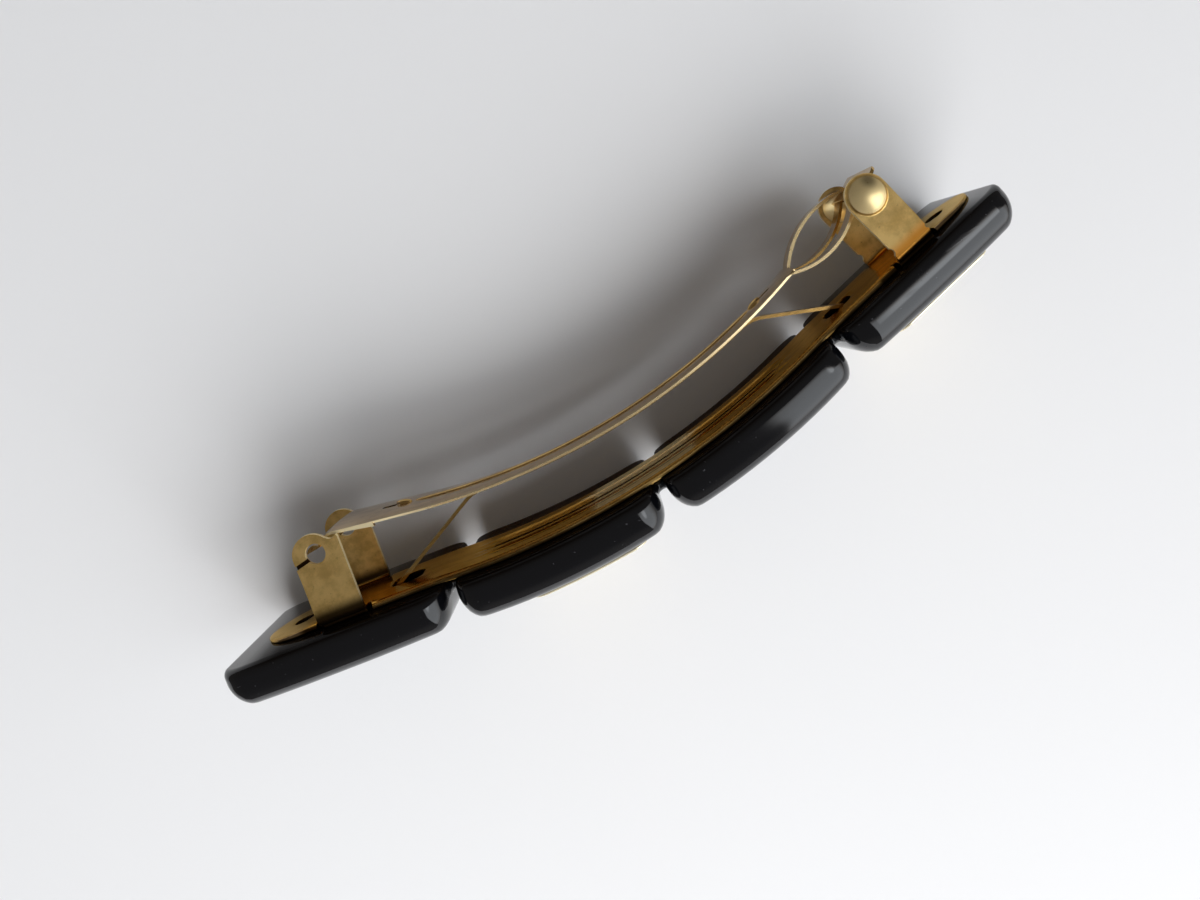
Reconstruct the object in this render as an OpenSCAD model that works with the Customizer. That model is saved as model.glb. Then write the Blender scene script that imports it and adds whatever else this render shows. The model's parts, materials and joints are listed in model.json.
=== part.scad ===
// Hair barrette: a bowed strip of four pillow tiles on a sprung snap clip.
// It lies on the long side walls of its tiles. X runs along the clip from the
// hinge to the clasp, +Y points to the hair, Z is the width of the barrette.

/* [Tile strip] */
// Width of the strip, the height of the part as it lies on its side
strip_w = 19.4; // [16:0.1:28]
// Thickness of the tiles from the flat back to the front
strip_t = 4.5; // [3.8:0.05:6]
// Radius of the bow at the middle of the back
bow_r = 93; // [80:1:120]
// Half length of the bowed middle
bow_x = 23.4; // [22:0.1:25]
// Slope of the straight ends, in degrees
end_slope = 11.3; // [9:0.1:13]
// Length of the straight end beyond the bow, on the hinge side
end_hinge = 23.7; // [20:0.1:30]
// Length of the straight end beyond the bow, on the clasp side
end_clasp = 23.3; // [20:0.1:30]
// Place of the groove between the first two tiles, along the clip
groove_hinge = -22.6; // [-23.5:0.1:-22]
// Place of the middle groove along the clip
groove_mid = 0.8; // [-2:0.1:2]
// Place of the groove between the last two tiles, along the clip
groove_clasp = 24.1; // [22.5:0.1:24.5]
// Narrow width of a groove
groove_w = 1.2; // [0.8:0.1:2]
// Thickness of the bridge that joins two tiles
bridge_t = 2.4; // [1.5:0.1:3.5]
// Depth of the side notches between two tiles
notch_d = 4.5; // [3:0.1:6]
// Radius of the tile edges along the front
front_edge_r = 2.6; // [1.5:0.1:3.2]
// Radius of the tile edges along the back
back_edge_r = 0.6; // [0.3:0.1:1.4]
// Radius of the tile corners next to a groove
tile_corner_r = 2.6; // [1.5:0.1:3]
// Radius of the outer tile corners, seen from the front
end_corner_r = 2.6; // [1:0.1:4]
// Radius between the front and the end of the strip
end_front_r = 3.1; // [1:0.1:3.4]

/* [Gilt panels] */
// Length of a panel along the strip
panel_l = 12.6; // [8:0.1:16]
// Width of a panel across the strip
panel_w = 14.2; // [8:0.1:15]
// Thickness of a panel
panel_t = 0.35; // [0.2:0.05:0.8]
// Middle of the panel on the second tile
panel_x = -9.3; // [-12:0.1:-8.5]
// Middle of the panel on the last tile, from the end of the bow
panel_s = 12.3; // [10:0.1:14]

/* [Clip base] */
// Middle of the clip across the strip
clip_z = 11.8; // [9:0.1:12]
// Middle of the clip along the strip
clip_x = 1.2; // [0:0.1:2]
// Thickness of the brass sheet
sheet_t = 0.45; // [0.4:0.05:0.7]
// Half width of the base between the ears
base_half = 4.7; // [4:0.1:5]
// Half width of the base over the ears
ear_half = 5.2; // [4.8:0.1:6]
// Height of the top of the base above the tile backs
base_top = 0.72; // [0.6:0.02:1.2]
// Half length of the base, tip to tip
base_reach = 21.75; // [20:0.05:22.5]
// Diameter of the hole in each end tab
tab_hole_d = 2.2; // [1.6:0.1:3]
// Width of the hinge ears along the clip
hinge_ear_w = 5.05; // [4:0.05:6]
// Width of the clasp ears along the clip
clasp_ear_w = 4.6; // [4:0.05:6]
// Height of the clasp ears above the tile backs
clasp_ear_h = 10.2; // [8:0.1:11]
// Radius of the stamped dome on each clasp ear
dome_r = 2.1; // [1.5:0.1:2.3]
// Height of the stamped dome
dome_h = 0.8; // [0.4:0.1:1.2]

/* [Hinge] */
// Hinge axis: distance along the straight end from the end of the bow
pivot_s = 10.81; // [10:0.01:12]
// Hinge axis: height above the tile backs
pivot_n = 7.62; // [6:0.01:9]
// Diameter of the hinge holes in the ears
bore_d = 1.9; // [1.5:0.05:2.4]
// Diameter of the hinge lugs of the arm
lug_d = 1.78; // [1.4:0.02:2.3]
// Radius of the rounded ear top about the hinge axis
curl_r = 2.1; // [1.6:0.05:2.6]

/* [Arm] */
// Thickness of the arm
arm_t = 0.5; // [0.4:0.05:0.8]
// Radius of the bow of the arm, on its underside
arm_r = 75; // [60:1:100]
// Lowest point of the arm along the clip
arm_x = 1.5; // [-2:0.1:4]
// Height of the lowest point of the arm above the middle of the tile backs
arm_y = 6.8; // [5.5:0.1:9]
// Half width of the arm at the hinge
arm_half_hinge = 4.4; // [3.5:0.05:4.4]
// Half width of the arm at the middle
arm_half_mid = 3.3; // [2.5:0.1:4]
// Half width of the raised middle tongue at the clasp end
tongue_half = 0.95; // [0.6:0.05:1.5]
// Slit between the tongue and each side rail
slit_w = 0.35; // [0.3:0.05:0.8]

/* [Tension bar] */
// Thickness of the bar
bar_t = 0.4; // [0.3:0.05:0.6]
// Half width of the bar
bar_half = 1.2; // [0.8:0.1:2]
// Gap between the bar and the arm
bar_gap = 0.3; // [0.3:0.05:1]

/* [Hidden] */
$fn = 96;
far = 60;
bow_angle = asin(bow_x / bow_r);
bow_y = bow_r * (1 - cos(bow_angle));
glue = 0.12;
// Overlap that makes the bow and its straight ends one solid
lap = 0.25;
panel_lift = 0.03;
bridge_inset = 0.15;
bridge_reach = 2.4;
ear_inner = ear_half - sheet_t;
base_hinge = base_reach - clip_x;
base_clasp = base_reach + clip_x;
hinge_ear_s = 8.1;
clasp_ear_s = 10.8;
clasp_head_r = clasp_ear_w / 2;
clasp_head_s = clasp_ear_s + clasp_head_r;
clasp_head_n = clasp_ear_h - clasp_head_r;
dome_sphere_r = (dome_r * dome_r + dome_h * dome_h) / (2 * dome_h);
// Hinge axis in the frame of the bow
pivot_x = -(bow_x + pivot_s * cos(end_slope) - pivot_n * sin(end_slope));
pivot_y = bow_y + pivot_s * sin(end_slope) + pivot_n * cos(end_slope);
arm_cy = arm_y + arm_r;
bar_r = arm_r + bar_gap;
brass = [0.78, 0.64, 0.38];
gilt = [0.86, 0.70, 0.36];
black = [0.05, 0.05, 0.06];
// Moves the middle of the overall box to the origin
shift_x = 0.2;
shift_y = -5.39;

// Puts the part, built in the frame of the bow, over the origin
module placed() {
    translate([shift_x, shift_y, 0]) children();
}

// Local frame of a straight end: X runs outward along the tile backs from the
// end of the bow, Y is the height above the backs, Z stays
module at_clasp_end() {
    translate([bow_x, bow_y, 0]) rotate([0, 0, end_slope]) children();
}

module at_hinge_end() {
    mirror([1, 0, 0]) at_clasp_end() children();
}

// Local frame on the bow at a place given along X
module on_bow(x) {
    translate([0, bow_r, 0]) rotate([0, 0, asin(x / bow_r)]) translate([0, -bow_r, 0]) children();
}

// Sweeps a section, drawn as height above the backs and width, along the bow
module sweep_bow(x0, x1) {
    a0 = asin(x0 / bow_r);
    a1 = asin(x1 / bow_r);
    translate([0, bow_r, 0]) rotate([0, 0, a0 - 90]) rotate_extrude(angle = a1 - a0, $fn = 360)
        translate([bow_r, 0]) mirror([1, 0]) children();
}

// Sweeps the same section straight on, in the frame of an end
module sweep_end(s0, s1) {
    translate([s0, 0, 0]) rotate([90, 0, 90]) linear_extrude(s1 - s0) children();
}

// Square corner less a quarter circle: cuts a rounded corner at the origin
module corner_cut(r) {
    difference() {
        translate([-0.5, -0.5]) square(r + 0.5);
        translate([r, r]) circle(r);
    }
}

module strip_section() {
    difference() {
        translate([-strip_t, 0]) square([strip_t, strip_w]);
        translate([-strip_t, 0]) corner_cut(front_edge_r);
        translate([-strip_t, strip_w]) mirror([0, 1]) corner_cut(front_edge_r);
        mirror([1, 0]) corner_cut(back_edge_r);
        translate([0, strip_w]) rotate(180) corner_cut(back_edge_r);
    }
}

// Cuts that round one end of a tile; X points out of the tile, and the end is
// at X = 0. The first radius shows from the side, the second from the front
module end_cuts(r_side, r_face) {
    translate([0, 0, -1]) linear_extrude(strip_w + 2) translate([0, -strip_t]) mirror([1, 0]) corner_cut(r_side);
    translate([0, 2, 0]) rotate([90, 0, 0]) linear_extrude(strip_t + 4) {
        mirror([1, 0]) corner_cut(r_face);
        translate([0, strip_w]) rotate(180) corner_cut(r_face);
    }
}

// One of the two middle tiles, which follow the bow
module bowed_tile(x0, x1) {
    difference() {
        sweep_bow(x0, x1) strip_section();
        on_bow(x1) end_cuts(tile_corner_r, tile_corner_r);
        on_bow(x0) mirror([1, 0, 0]) end_cuts(tile_corner_r, tile_corner_r);
    }
}

// One of the two outer tiles, straight, in the frame of its end
module straight_tile(s0, s1) {
    difference() {
        sweep_end(s0, s1) strip_section();
        translate([s1, 0, 0]) end_cuts(end_front_r, end_corner_r);
        translate([s0, 0, 0]) mirror([1, 0, 0]) end_cuts(tile_corner_r, tile_corner_r);
    }
}

// Bridge between two tiles, in the frame of the groove
module bridge() {
    translate([-bridge_reach, -bridge_t, notch_d])
        cube([2 * bridge_reach, bridge_t - bridge_inset, strip_w - 2 * notch_d]);
}

module front_strip() {
    gap = groove_w / 2;
    color(black) placed() {
        at_hinge_end() straight_tile(-groove_hinge - bow_x + gap, end_hinge);
        bowed_tile(groove_hinge + gap, groove_mid - gap);
        bowed_tile(groove_mid + gap, groove_clasp - gap);
        at_clasp_end() straight_tile(groove_clasp - bow_x + gap, end_clasp);
        for (x = [groove_hinge, groove_mid, groove_clasp]) on_bow(x) bridge();
    }
}

// Front view of a panel with rounded corners
module panel_outline() {
    corner = 1.5;
    square([panel_l, panel_w - 2 * corner], center = true);
    square([panel_l - 2 * corner, panel_w], center = true);
    for (i = [-1, 1], j = [-1, 1])
        translate([i * (panel_l / 2 - corner), j * (panel_w / 2 - corner)]) circle(corner);
}

// Thin raised panel that follows the bow of the second tile
module panel_second_tile() {
    half_angle = asin((panel_l / 2 + 1) / (bow_r + strip_t));
    color(gilt) placed() intersection() {
        translate([0, bow_r, 0]) rotate([0, 0, asin(panel_x / bow_r) - 90 - half_angle])
            rotate_extrude(angle = 2 * half_angle, $fn = 360)
                translate([bow_r + strip_t + panel_lift, 0]) square([panel_t, strip_w]);
        on_bow(panel_x) translate([0, 0, strip_w / 2]) rotate([90, 0, 0]) linear_extrude(20) panel_outline();
    }
}

// The same panel, flat, on the straight last tile
module panel_last_tile() {
    color(gilt) placed() at_clasp_end() translate([panel_s, -strip_t - panel_lift, strip_w / 2])
        rotate([90, 0, 0]) linear_extrude(panel_t) panel_outline();
}

// Section of the base: flat sheet whose long edges turn down to the tiles
module base_section(half) {
    low = base_top - sheet_t;
    translate([0, clip_z]) polygon([
        [glue, -half + 0.15], [glue + 0.25, -half], [base_top - 0.22, -half],
        [base_top, -half + 0.42], [base_top, half - 0.42], [base_top - 0.22, half],
        [glue + 0.25, half], [glue, half - 0.15], [glue, half - 0.4],
        [low, half - 0.75], [low, -half + 0.75], [glue, -half + 0.4]
    ]);
}

// Section across a pair of ears: the sheet is bent up at both sides
module ear_section() {
    low = base_top - sheet_t;
    translate([0, clip_z]) difference() {
        translate([low, -ear_half]) square([12, 2 * ear_half]);
        translate([low, -ear_half]) corner_cut(0.9);
        translate([low, ear_half]) mirror([0, 1]) corner_cut(0.9);
        difference() {
            translate([base_top, -ear_inner]) square([14, 2 * ear_inner]);
            translate([base_top, -ear_inner]) corner_cut(0.45);
            translate([base_top, ear_inner]) mirror([0, 1]) corner_cut(0.45);
        }
    }
}

// Rounded tip of an end tab, and the cuts that free the tab from the ears
module tab_cut(len, ear_end) {
    tip_r = 6;
    translate([0, 4, clip_z]) rotate([90, 0, 0]) linear_extrude(8) {
        difference() {
            translate([len - 3, -8]) square([8, 16]);
            translate([len - tip_r, 0]) circle(tip_r);
        }
        translate([len - 3.9, 0]) circle(d = tab_hole_d);
        for (i = [-1, 1]) {
            translate([ear_end + 0.3, i * 6]) square([0.6, 5], center = true);
            translate([ear_end + 0.3, i * 3.5]) circle(0.3);
        }
        // the tabs are a little narrower than the middle
        for (i = [-1, 1])
            translate([ear_end + 0.6 + 6, i * (4.35 + 2)]) square([12, 4], center = true);
    }
}

// Short cuts beside the inner edge of the ears and the slot of the bar foot
module inner_cuts(ear_start, slot_a, slot_b) {
    translate([0, 4, clip_z]) rotate([90, 0, 0]) linear_extrude(8) {
        for (i = [-1, 1]) {
            translate([ear_start - 0.3, i * 6]) square([0.6, 4.4], center = true);
            translate([ear_start - 0.3, i * 3.8]) circle(0.3);
        }
        translate([slot_a, -1.55]) square([slot_b - slot_a, 3.1]);
        translate([slot_a, 0]) circle(1.55);
    }
}

module hinge_ears() {
    at_hinge_end() difference() {
        intersection() {
            translate([hinge_ear_s, 0, 0]) rotate([90, 0, 90]) linear_extrude(hinge_ear_w + 0.3) ear_section();
            linear_extrude(strip_w) {
                translate([hinge_ear_s, 0]) square([hinge_ear_w, 8.4]);
                translate([pivot_s + 0.3, pivot_n]) circle(curl_r);
            }
        }
        translate([pivot_s, pivot_n, 0]) cylinder(d = bore_d, h = strip_w);
        // narrow slit from the hinge hole to the outer edge
        translate([pivot_s, pivot_n, 0]) rotate([0, 0, -8]) translate([0, -0.19, 0]) cube([4, 0.38, strip_w]);
        // dip between the rounded top and the inner corner
        translate([pivot_s - 2.25, pivot_n + 1.1, 0]) cylinder(r = 0.62, h = strip_w);
    }
}

module clasp_ears() {
    at_clasp_end() difference() {
        union() {
            intersection() {
                translate([clasp_ear_s, 0, 0]) rotate([90, 0, 90]) linear_extrude(clasp_ear_w) ear_section();
                linear_extrude(strip_w) {
                    translate([clasp_ear_s, 0]) square([clasp_ear_w, clasp_head_n]);
                    translate([clasp_head_s, clasp_head_n]) circle(clasp_head_r);
                }
            }
            for (i = [-1, 1])
                translate([clasp_head_s, clasp_head_n, clip_z]) difference() {
                    translate([0, 0, i * (ear_half + dome_h - dome_sphere_r)]) rotate([90, 0, 0]) sphere(dome_sphere_r);
                    translate([-5, -5, i > 0 ? -10 + ear_half - 0.2 : -ear_half + 0.2]) cube([10, 10, 10]);
                }
        }
        for (i = [-1, 1])
            translate([clasp_head_s, clasp_head_n, clip_z + i * (ear_half + dome_h - dome_sphere_r)])
                rotate([90, 0, 0]) sphere(dome_sphere_r - sheet_t);
        // rounded relief low on the inner edge
        translate([clasp_ear_s - 0.25, 1.9, 0]) cylinder(r = 0.6, h = strip_w);
    }
}

module base_plate() {
    color(brass) placed() {
        difference() {
            union() {
                sweep_bow(-bow_x - lap, bow_x + lap) base_section(base_half);
                at_hinge_end() sweep_end(-lap, base_hinge) base_section(base_half);
                at_clasp_end() sweep_end(-lap, base_clasp) base_section(base_half);
            }
            at_hinge_end() {
                tab_cut(base_hinge, hinge_ear_s + hinge_ear_w);
                inner_cuts(hinge_ear_s, 4.7, 7.1);
            }
            at_clasp_end() {
                tab_cut(base_clasp, clasp_ear_s + clasp_ear_w);
                inner_cuts(clasp_ear_s, 3.4, 5.8);
            }
            // stamped line along the middle
            sweep_bow(-19, 19) translate([base_top - 0.16, clip_z - 0.2]) square([0.66, 0.4]);
        }
        hinge_ears();
        clasp_ears();
    }
}

// Part of a ring between two radii, cut to a span along X
module ring_span(cx, cy, r_in, r_out, x0, x1, above) {
    intersection() {
        translate([cx, cy]) difference() {
            circle(r_out, $fn = 360);
            circle(r_in, $fn = 360);
        }
        translate([x0, above ? cy : cy - far * 2]) square([x1 - x0, far * 2]);
    }
}

// Straight piece of sheet from one point to another, by its middle line
module sheet_line(p, q, t) {
    d = q - p;
    a = atan2(d[1], d[0]);
    translate(p) rotate(a) translate([0, -t / 2]) square([norm(d), t]);
}

arm_joint_x = -22;
arm_joint_y = arm_cy - sqrt(pow(arm_r - arm_t / 2, 2) - pow(arm_joint_x - arm_x, 2));
arm_slope = atan((arm_x - arm_joint_x) / (arm_cy - arm_joint_y));
arm_knee = [-30.6, arm_joint_y + (-30.6 - arm_joint_x) * -tan(arm_slope)];
fork_x = 24.5;
tongue_c = [32.8, 5.2];
tongue_r = 10;
rail_c = [27.2, 18.35];
rail_r = 8.5;

// Side view of the arm without its clasp end
module arm_side() {
    ring_span(arm_x, arm_cy, arm_r - arm_t, arm_r, arm_joint_x, fork_x + 0.3, false);
    sheet_line([arm_joint_x, arm_joint_y], arm_knee, arm_t);
    translate(arm_knee) circle(arm_t / 2);
    sheet_line(arm_knee, [pivot_x - 0.7, pivot_y + 0.55], arm_t);
}

module arm_plan() {
    x0 = pivot_x - 1.05;
    polygon([
        [x0, -arm_half_hinge], [-27.5, -arm_half_hinge], [-6, -arm_half_mid], [far, -arm_half_mid],
        [far, arm_half_mid], [-6, arm_half_mid], [-27.5, arm_half_hinge], [x0, arm_half_hinge]
    ]);
}

module across(half) {
    translate([0, 0, clip_z - half]) linear_extrude(2 * half) children();
}

module arm() {
    rail_in = tongue_half + slit_w;
    color(brass) placed() difference() {
        union() {
            intersection() {
                across(5) arm_side();
                translate([0, 30, clip_z]) rotate([90, 0, 0]) linear_extrude(40) arm_plan();
            }
            // hinge lugs
            for (i = [0, 1])
                translate([pivot_x, pivot_y, clip_z]) mirror([0, 0, i]) translate([0, 0, arm_half_hinge - 1.4])
                    cylinder(d = lug_d, h = ear_half - arm_half_hinge + 1.4 - 0.06);
            // stiffening rib on the head side
            translate([arm_x, arm_cy, clip_z]) rotate([0, 0, -90 - asin((20.5 + arm_x) / arm_r)])
                rotate_extrude(angle = asin((20.5 + arm_x) / arm_r) + asin((19.5 - arm_x) / arm_r), $fn = 360)
                    intersection() {
                        translate([arm_r - arm_t + 0.36, 0]) circle(0.6);
                        translate([arm_r - arm_t - 1, -1]) square([arm_t + 0.9, 2]);
                    }
            // raised tongue
            across(tongue_half) {
                ring_span(tongue_c[0], tongue_c[1], tongue_r - sheet_t, tongue_r, fork_x + 0.15, 35.4, true);
            }
            // side rails
            for (i = [0, 1])
                translate([0, 0, clip_z]) mirror([0, 0, i]) translate([0, 0, rail_in])
                    linear_extrude(arm_half_mid - rail_in)
                        ring_span(rail_c[0], rail_c[1], rail_r - sheet_t, rail_r, fork_x - 0.2, 34.35, false);
            // cross piece and finger tip between the clasp ears
            across(arm_half_hinge) {
                sheet_line([34.1, 13.85], [35.9, 14.4], arm_t);
                translate([35.9, 14.4]) circle(arm_t / 2);
                sheet_line([35.9, 14.4], [37.2, 15.1], arm_t);
                translate([37.2, 15.1]) circle(arm_t / 2);
            }
        }
        // slits on both sides of the root of the tongue
        for (i = [-1, 1])
            translate([fork_x - 0.2, 9, clip_z + i * (tongue_half + slit_w / 2) - slit_w / 2])
                cube([1.2, 4, slit_w]);
    }
}

foot_hinge = [-29.1, 4.52];
foot_clasp = [28.0, 4.28];
bend_hinge_x = -16.6;
bend_clasp_x = 18.4;

module tension_bar() {
    mid_r = bar_r + bar_t / 2;
    bend_hinge = [bend_hinge_x, arm_cy - sqrt(pow(mid_r, 2) - pow(bend_hinge_x - arm_x, 2))];
    bend_clasp = [bend_clasp_x, arm_cy - sqrt(pow(mid_r, 2) - pow(bend_clasp_x - arm_x, 2))];
    color(brass) placed() across(bar_half) {
        ring_span(arm_x, arm_cy, bar_r, bar_r + bar_t, bend_hinge_x, bend_clasp_x, false);
        for (p = [bend_hinge, bend_clasp]) translate(p) circle(bar_t / 2);
        sheet_line(foot_hinge, bend_hinge, bar_t);
        sheet_line(bend_clasp, foot_clasp, bar_t);
    }
}

front_strip();
panel_second_tile();
panel_last_tile();
base_plate();
arm();
tension_bar();
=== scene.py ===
"""Hair barrette: four joined black tiles in a bow, with gilt panels, on a brass snap clip."""

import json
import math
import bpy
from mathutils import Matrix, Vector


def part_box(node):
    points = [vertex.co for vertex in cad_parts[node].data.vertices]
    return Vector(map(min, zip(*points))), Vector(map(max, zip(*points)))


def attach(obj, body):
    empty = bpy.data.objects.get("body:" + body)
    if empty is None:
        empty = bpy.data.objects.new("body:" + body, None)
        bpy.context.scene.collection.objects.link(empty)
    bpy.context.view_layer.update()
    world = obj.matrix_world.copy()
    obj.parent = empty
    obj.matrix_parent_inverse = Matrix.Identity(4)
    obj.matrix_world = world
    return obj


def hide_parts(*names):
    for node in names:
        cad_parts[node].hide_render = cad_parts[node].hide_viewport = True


bl_info = {
    "name": "Hair Barrette",
    "version": (1, 0, 0),
    "blender": (4, 5, 0),
    "location": "3D View > Sidebar > Barrette",
    "description": "Models a bowed tile barrette with a sprung snap clip, piece by piece",
    "category": "Add Mesh",
}

import bpy
from bpy.props import FloatProperty, FloatVectorProperty, PointerProperty
from bpy.types import Operator, Panel, PropertyGroup
from mathutils import Matrix, Vector

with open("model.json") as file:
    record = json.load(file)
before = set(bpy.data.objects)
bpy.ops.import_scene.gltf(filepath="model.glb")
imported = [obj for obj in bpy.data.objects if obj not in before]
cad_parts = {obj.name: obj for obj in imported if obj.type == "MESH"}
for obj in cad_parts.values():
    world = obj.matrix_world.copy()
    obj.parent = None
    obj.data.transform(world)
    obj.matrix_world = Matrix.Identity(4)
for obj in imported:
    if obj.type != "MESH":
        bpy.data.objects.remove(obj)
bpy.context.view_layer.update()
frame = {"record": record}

MM = 0.001
BOW_ORIGIN = Vector((0.2, -5.39, 0.0))


def node_box(node):
    """Lowest and highest corner of a node, in the frame of the bow."""
    low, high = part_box(node)
    return Vector(low) / MM - BOW_ORIGIN, Vector(high) / MM - BOW_ORIGIN


strip_low, strip_high = node_box("front_strip")
STRIP_W = strip_high.z - strip_low.z
PIVOT = Vector(frame["record"]["behaviour"]["joints"][0]["pos_m"]) / MM - BOW_ORIGIN

# The bow: an arc in the middle and straight ends
BOW_R = 93.0
BOW_X = 23.4
END_SLOPE = math.radians(11.3)
BOW_Y = BOW_R - math.sqrt(BOW_R**2 - BOW_X**2)
BOW_S = BOW_R * math.asin(BOW_X / BOW_R)
# The path that bends flat pieces starts this far before the middle
PATH_START = 60.0
# Middle of the clip across the strip
CLIP_Z = 11.8


# Sizes and colours that a user can change

def millimetres(name, description, value):
    """A length, given in millimetres."""
    return FloatProperty(name=name, description=description, default=value * MM, unit="LENGTH")


def tint(name, description, value):
    """A colour as shares of red, green and blue."""
    return FloatVectorProperty(name=name, description=description, default=value, subtype="COLOR")


class StripSizes(PropertyGroup):
    thickness: millimetres("Thickness", "Tile back to tile front", 4.5)
    front_round: millimetres("Front rounding", "Radius of the long front edges", 2.6)
    back_round: millimetres("Back rounding", "Radius of the long back edges", 1.1)
    corner_round: millimetres("Corner rounding", "Radius of the tile corners from the front", 2.6)
    end_round: millimetres("End rounding", "Radius between front and strip end", 3.1)
    groove: millimetres("Groove", "Gap between two tiles at the back", 1.2)
    bridge: millimetres("Bridge", "Thickness of the bridge where it joins a tile", 1.7)
    notch: millimetres("Notch", "Depth of the side notches between tiles", 4.5)
    colour: tint("Plastic", "Colour of the plastic", (0.0022, 0.0024, 0.0034))


class PanelSizes(PropertyGroup):
    length: millimetres("Length", "Length of a gilt panel", 12.6)
    width: millimetres("Width", "Width of a gilt panel", 14.2)
    thickness: millimetres("Thickness", "Thickness of a gilt panel", 0.35)
    colour: tint("Gilt", "Colour of the gilt", (0.94, 0.73, 0.36))


class ClipSizes(PropertyGroup):
    sheet: millimetres("Sheet", "Thickness of the brass sheet", 0.45)
    base_half: millimetres("Base half width", "Half width of the base plate", 4.7)
    ear_half: millimetres("Ear half width", "Half width over the ears", 5.2)
    arm_half_hinge: millimetres("Arm half width, hinge", "Half width of the arm at the hinge", 4.4)
    arm_half_mid: millimetres("Arm half width, middle", "Half width of the arm beyond the taper", 3.3)
    bar_half: millimetres("Bar half width", "Half width of the tension bar", 1.2)
    colour: tint("Brass", "Colour of the arm and the bar", (0.56, 0.355, 0.115))
    base_colour: tint("Base brass", "Colour of the base plate", (0.55, 0.29, 0.062))


class StageSettings(PropertyGroup):
    floor_colour: tint("Floor", "Colour of the paper", (0.80, 0.80, 0.81))
    camera_height: millimetres("Camera height", "Camera above the paper", 99.8)
    lens: FloatProperty(name="Lens", description="Focal length in millimetres", default=24.33)


def sized(group, name):
    """A size of a property group in millimetres."""
    return getattr(group, name) / MM


# Mesh tools

def clear_selection():
    if bpy.context.object and bpy.context.object.mode != "OBJECT":
        bpy.ops.object.mode_set(mode="OBJECT")
    bpy.ops.object.select_all(action="DESELECT")


def take(obj):
    clear_selection()
    obj.select_set(True)
    bpy.context.view_layer.objects.active = obj
    return obj


def remove(obj):
    take(obj)
    bpy.ops.object.delete()


def edit_all(obj):
    take(obj)
    bpy.ops.object.mode_set(mode="EDIT")
    bpy.ops.mesh.select_all(action="SELECT")


def outward(obj):
    edit_all(obj)
    bpy.ops.mesh.remove_doubles(threshold=1e-4)
    bpy.ops.mesh.normals_make_consistent(inside=False)
    bpy.ops.object.mode_set(mode="OBJECT")


def outline(name, points):
    """One flat face with the given corners, as (x, y, z)."""
    clear_selection()
    bpy.ops.mesh.primitive_circle_add(vertices=len(points), radius=1.0, fill_type="NGON")
    obj = bpy.context.object
    obj.name = name
    for vertex, point in zip(obj.data.vertices, points):
        vertex.co = point
    return obj


def plate(name, points, z0, z1):
    """Flat outline in X and Y, extruded from z0 to z1."""
    obj = outline(name, [(x, y, z0) for x, y in points])
    edit_all(obj)
    bpy.ops.mesh.extrude_region_move(TRANSFORM_OT_translate={"value": (0, 0, z1 - z0)})
    bpy.ops.object.mode_set(mode="OBJECT")
    outward(obj)
    return obj


def loft(name, section, stations):
    """Extrudes a section along X. A station is (x, y_low, y_high, z_low, z_high),
    and the section is scaled to the box of each station in turn."""
    x, y0, y1, z0, z1 = stations[0]
    obj = outline(name, [(x, y0 + u * (y1 - y0), z0 + v * (z1 - z0)) for u, v in section])
    edit_all(obj)
    for last, now in zip(stations, stations[1:]):
        rise = (sum(now[1:3]) - sum(last[1:3])) / 2
        shift = (sum(now[3:5]) - sum(last[3:5])) / 2
        step = (now[0] - last[0], rise, shift)
        bpy.ops.mesh.extrude_region_move(TRANSFORM_OT_translate={"value": step})
        centre = (now[0], sum(now[1:3]) / 2, sum(now[3:5]) / 2)
        scale = (1, (now[2] - now[1]) / (last[2] - last[1]), (now[4] - now[3]) / (last[4] - last[3]))
        bpy.ops.transform.resize(value=scale, center_override=centre)
    bpy.ops.object.mode_set(mode="OBJECT")
    outward(obj)
    return obj


def combine(obj, other, operation):
    """Boolean of two closed solids; the second is used up."""
    take(obj)
    boolean = obj.modifiers.new("boolean", "BOOLEAN")
    boolean.operation = operation
    boolean.solver = "EXACT"
    boolean.object = other
    bpy.ops.object.modifier_apply(modifier=boolean.name)
    if not obj.data.polygons:
        raise RuntimeError(f"nothing is left of {obj.name} after {other.name}")
    remove(other)
    take(obj)
    return obj


def cut(obj, other):
    return combine(obj, other, "DIFFERENCE")


def weld(obj, other):
    return combine(obj, other, "UNION")


def trim(obj, other):
    return combine(obj, other, "INTERSECT")


def gather(name, pieces):
    """Joins solids that touch into one object."""
    take(pieces[0])
    for piece in pieces[1:]:
        piece.select_set(True)
    bpy.ops.object.join()
    obj = bpy.context.object
    obj.name = name
    return obj


def soften(obj, width, segments=2, angle=32):
    take(obj)
    bevel = obj.modifiers.new("soft edges", "BEVEL")
    bevel.width = width
    bevel.segments = segments
    bevel.limit_method = "ANGLE"
    bevel.angle_limit = math.radians(angle)
    bevel.use_clamp_overlap = True
    bpy.ops.object.modifier_apply(modifier=bevel.name)
    return obj


def cylinder(name, radius, start, end, vertices=64):
    """Cylinder between two points."""
    start, end = Vector(start), Vector(end)
    clear_selection()
    bpy.ops.mesh.primitive_cylinder_add(vertices=vertices, radius=radius, depth=(end - start).length)
    obj = bpy.context.object
    obj.name = name
    turn = Vector((0, 0, 1)).rotation_difference(end - start).to_matrix().to_4x4()
    obj.matrix_world = Matrix.Translation((start + end) / 2) @ turn
    bpy.ops.object.transform_apply(location=True, rotation=True, scale=True)
    return obj


def move_mesh(obj, matrix):
    """Moves a piece by a matrix and puts the move into its mesh."""
    take(obj)
    obj.matrix_world = matrix @ obj.matrix_world
    bpy.ops.object.transform_apply(location=True, rotation=True, scale=True)
    return obj


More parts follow.
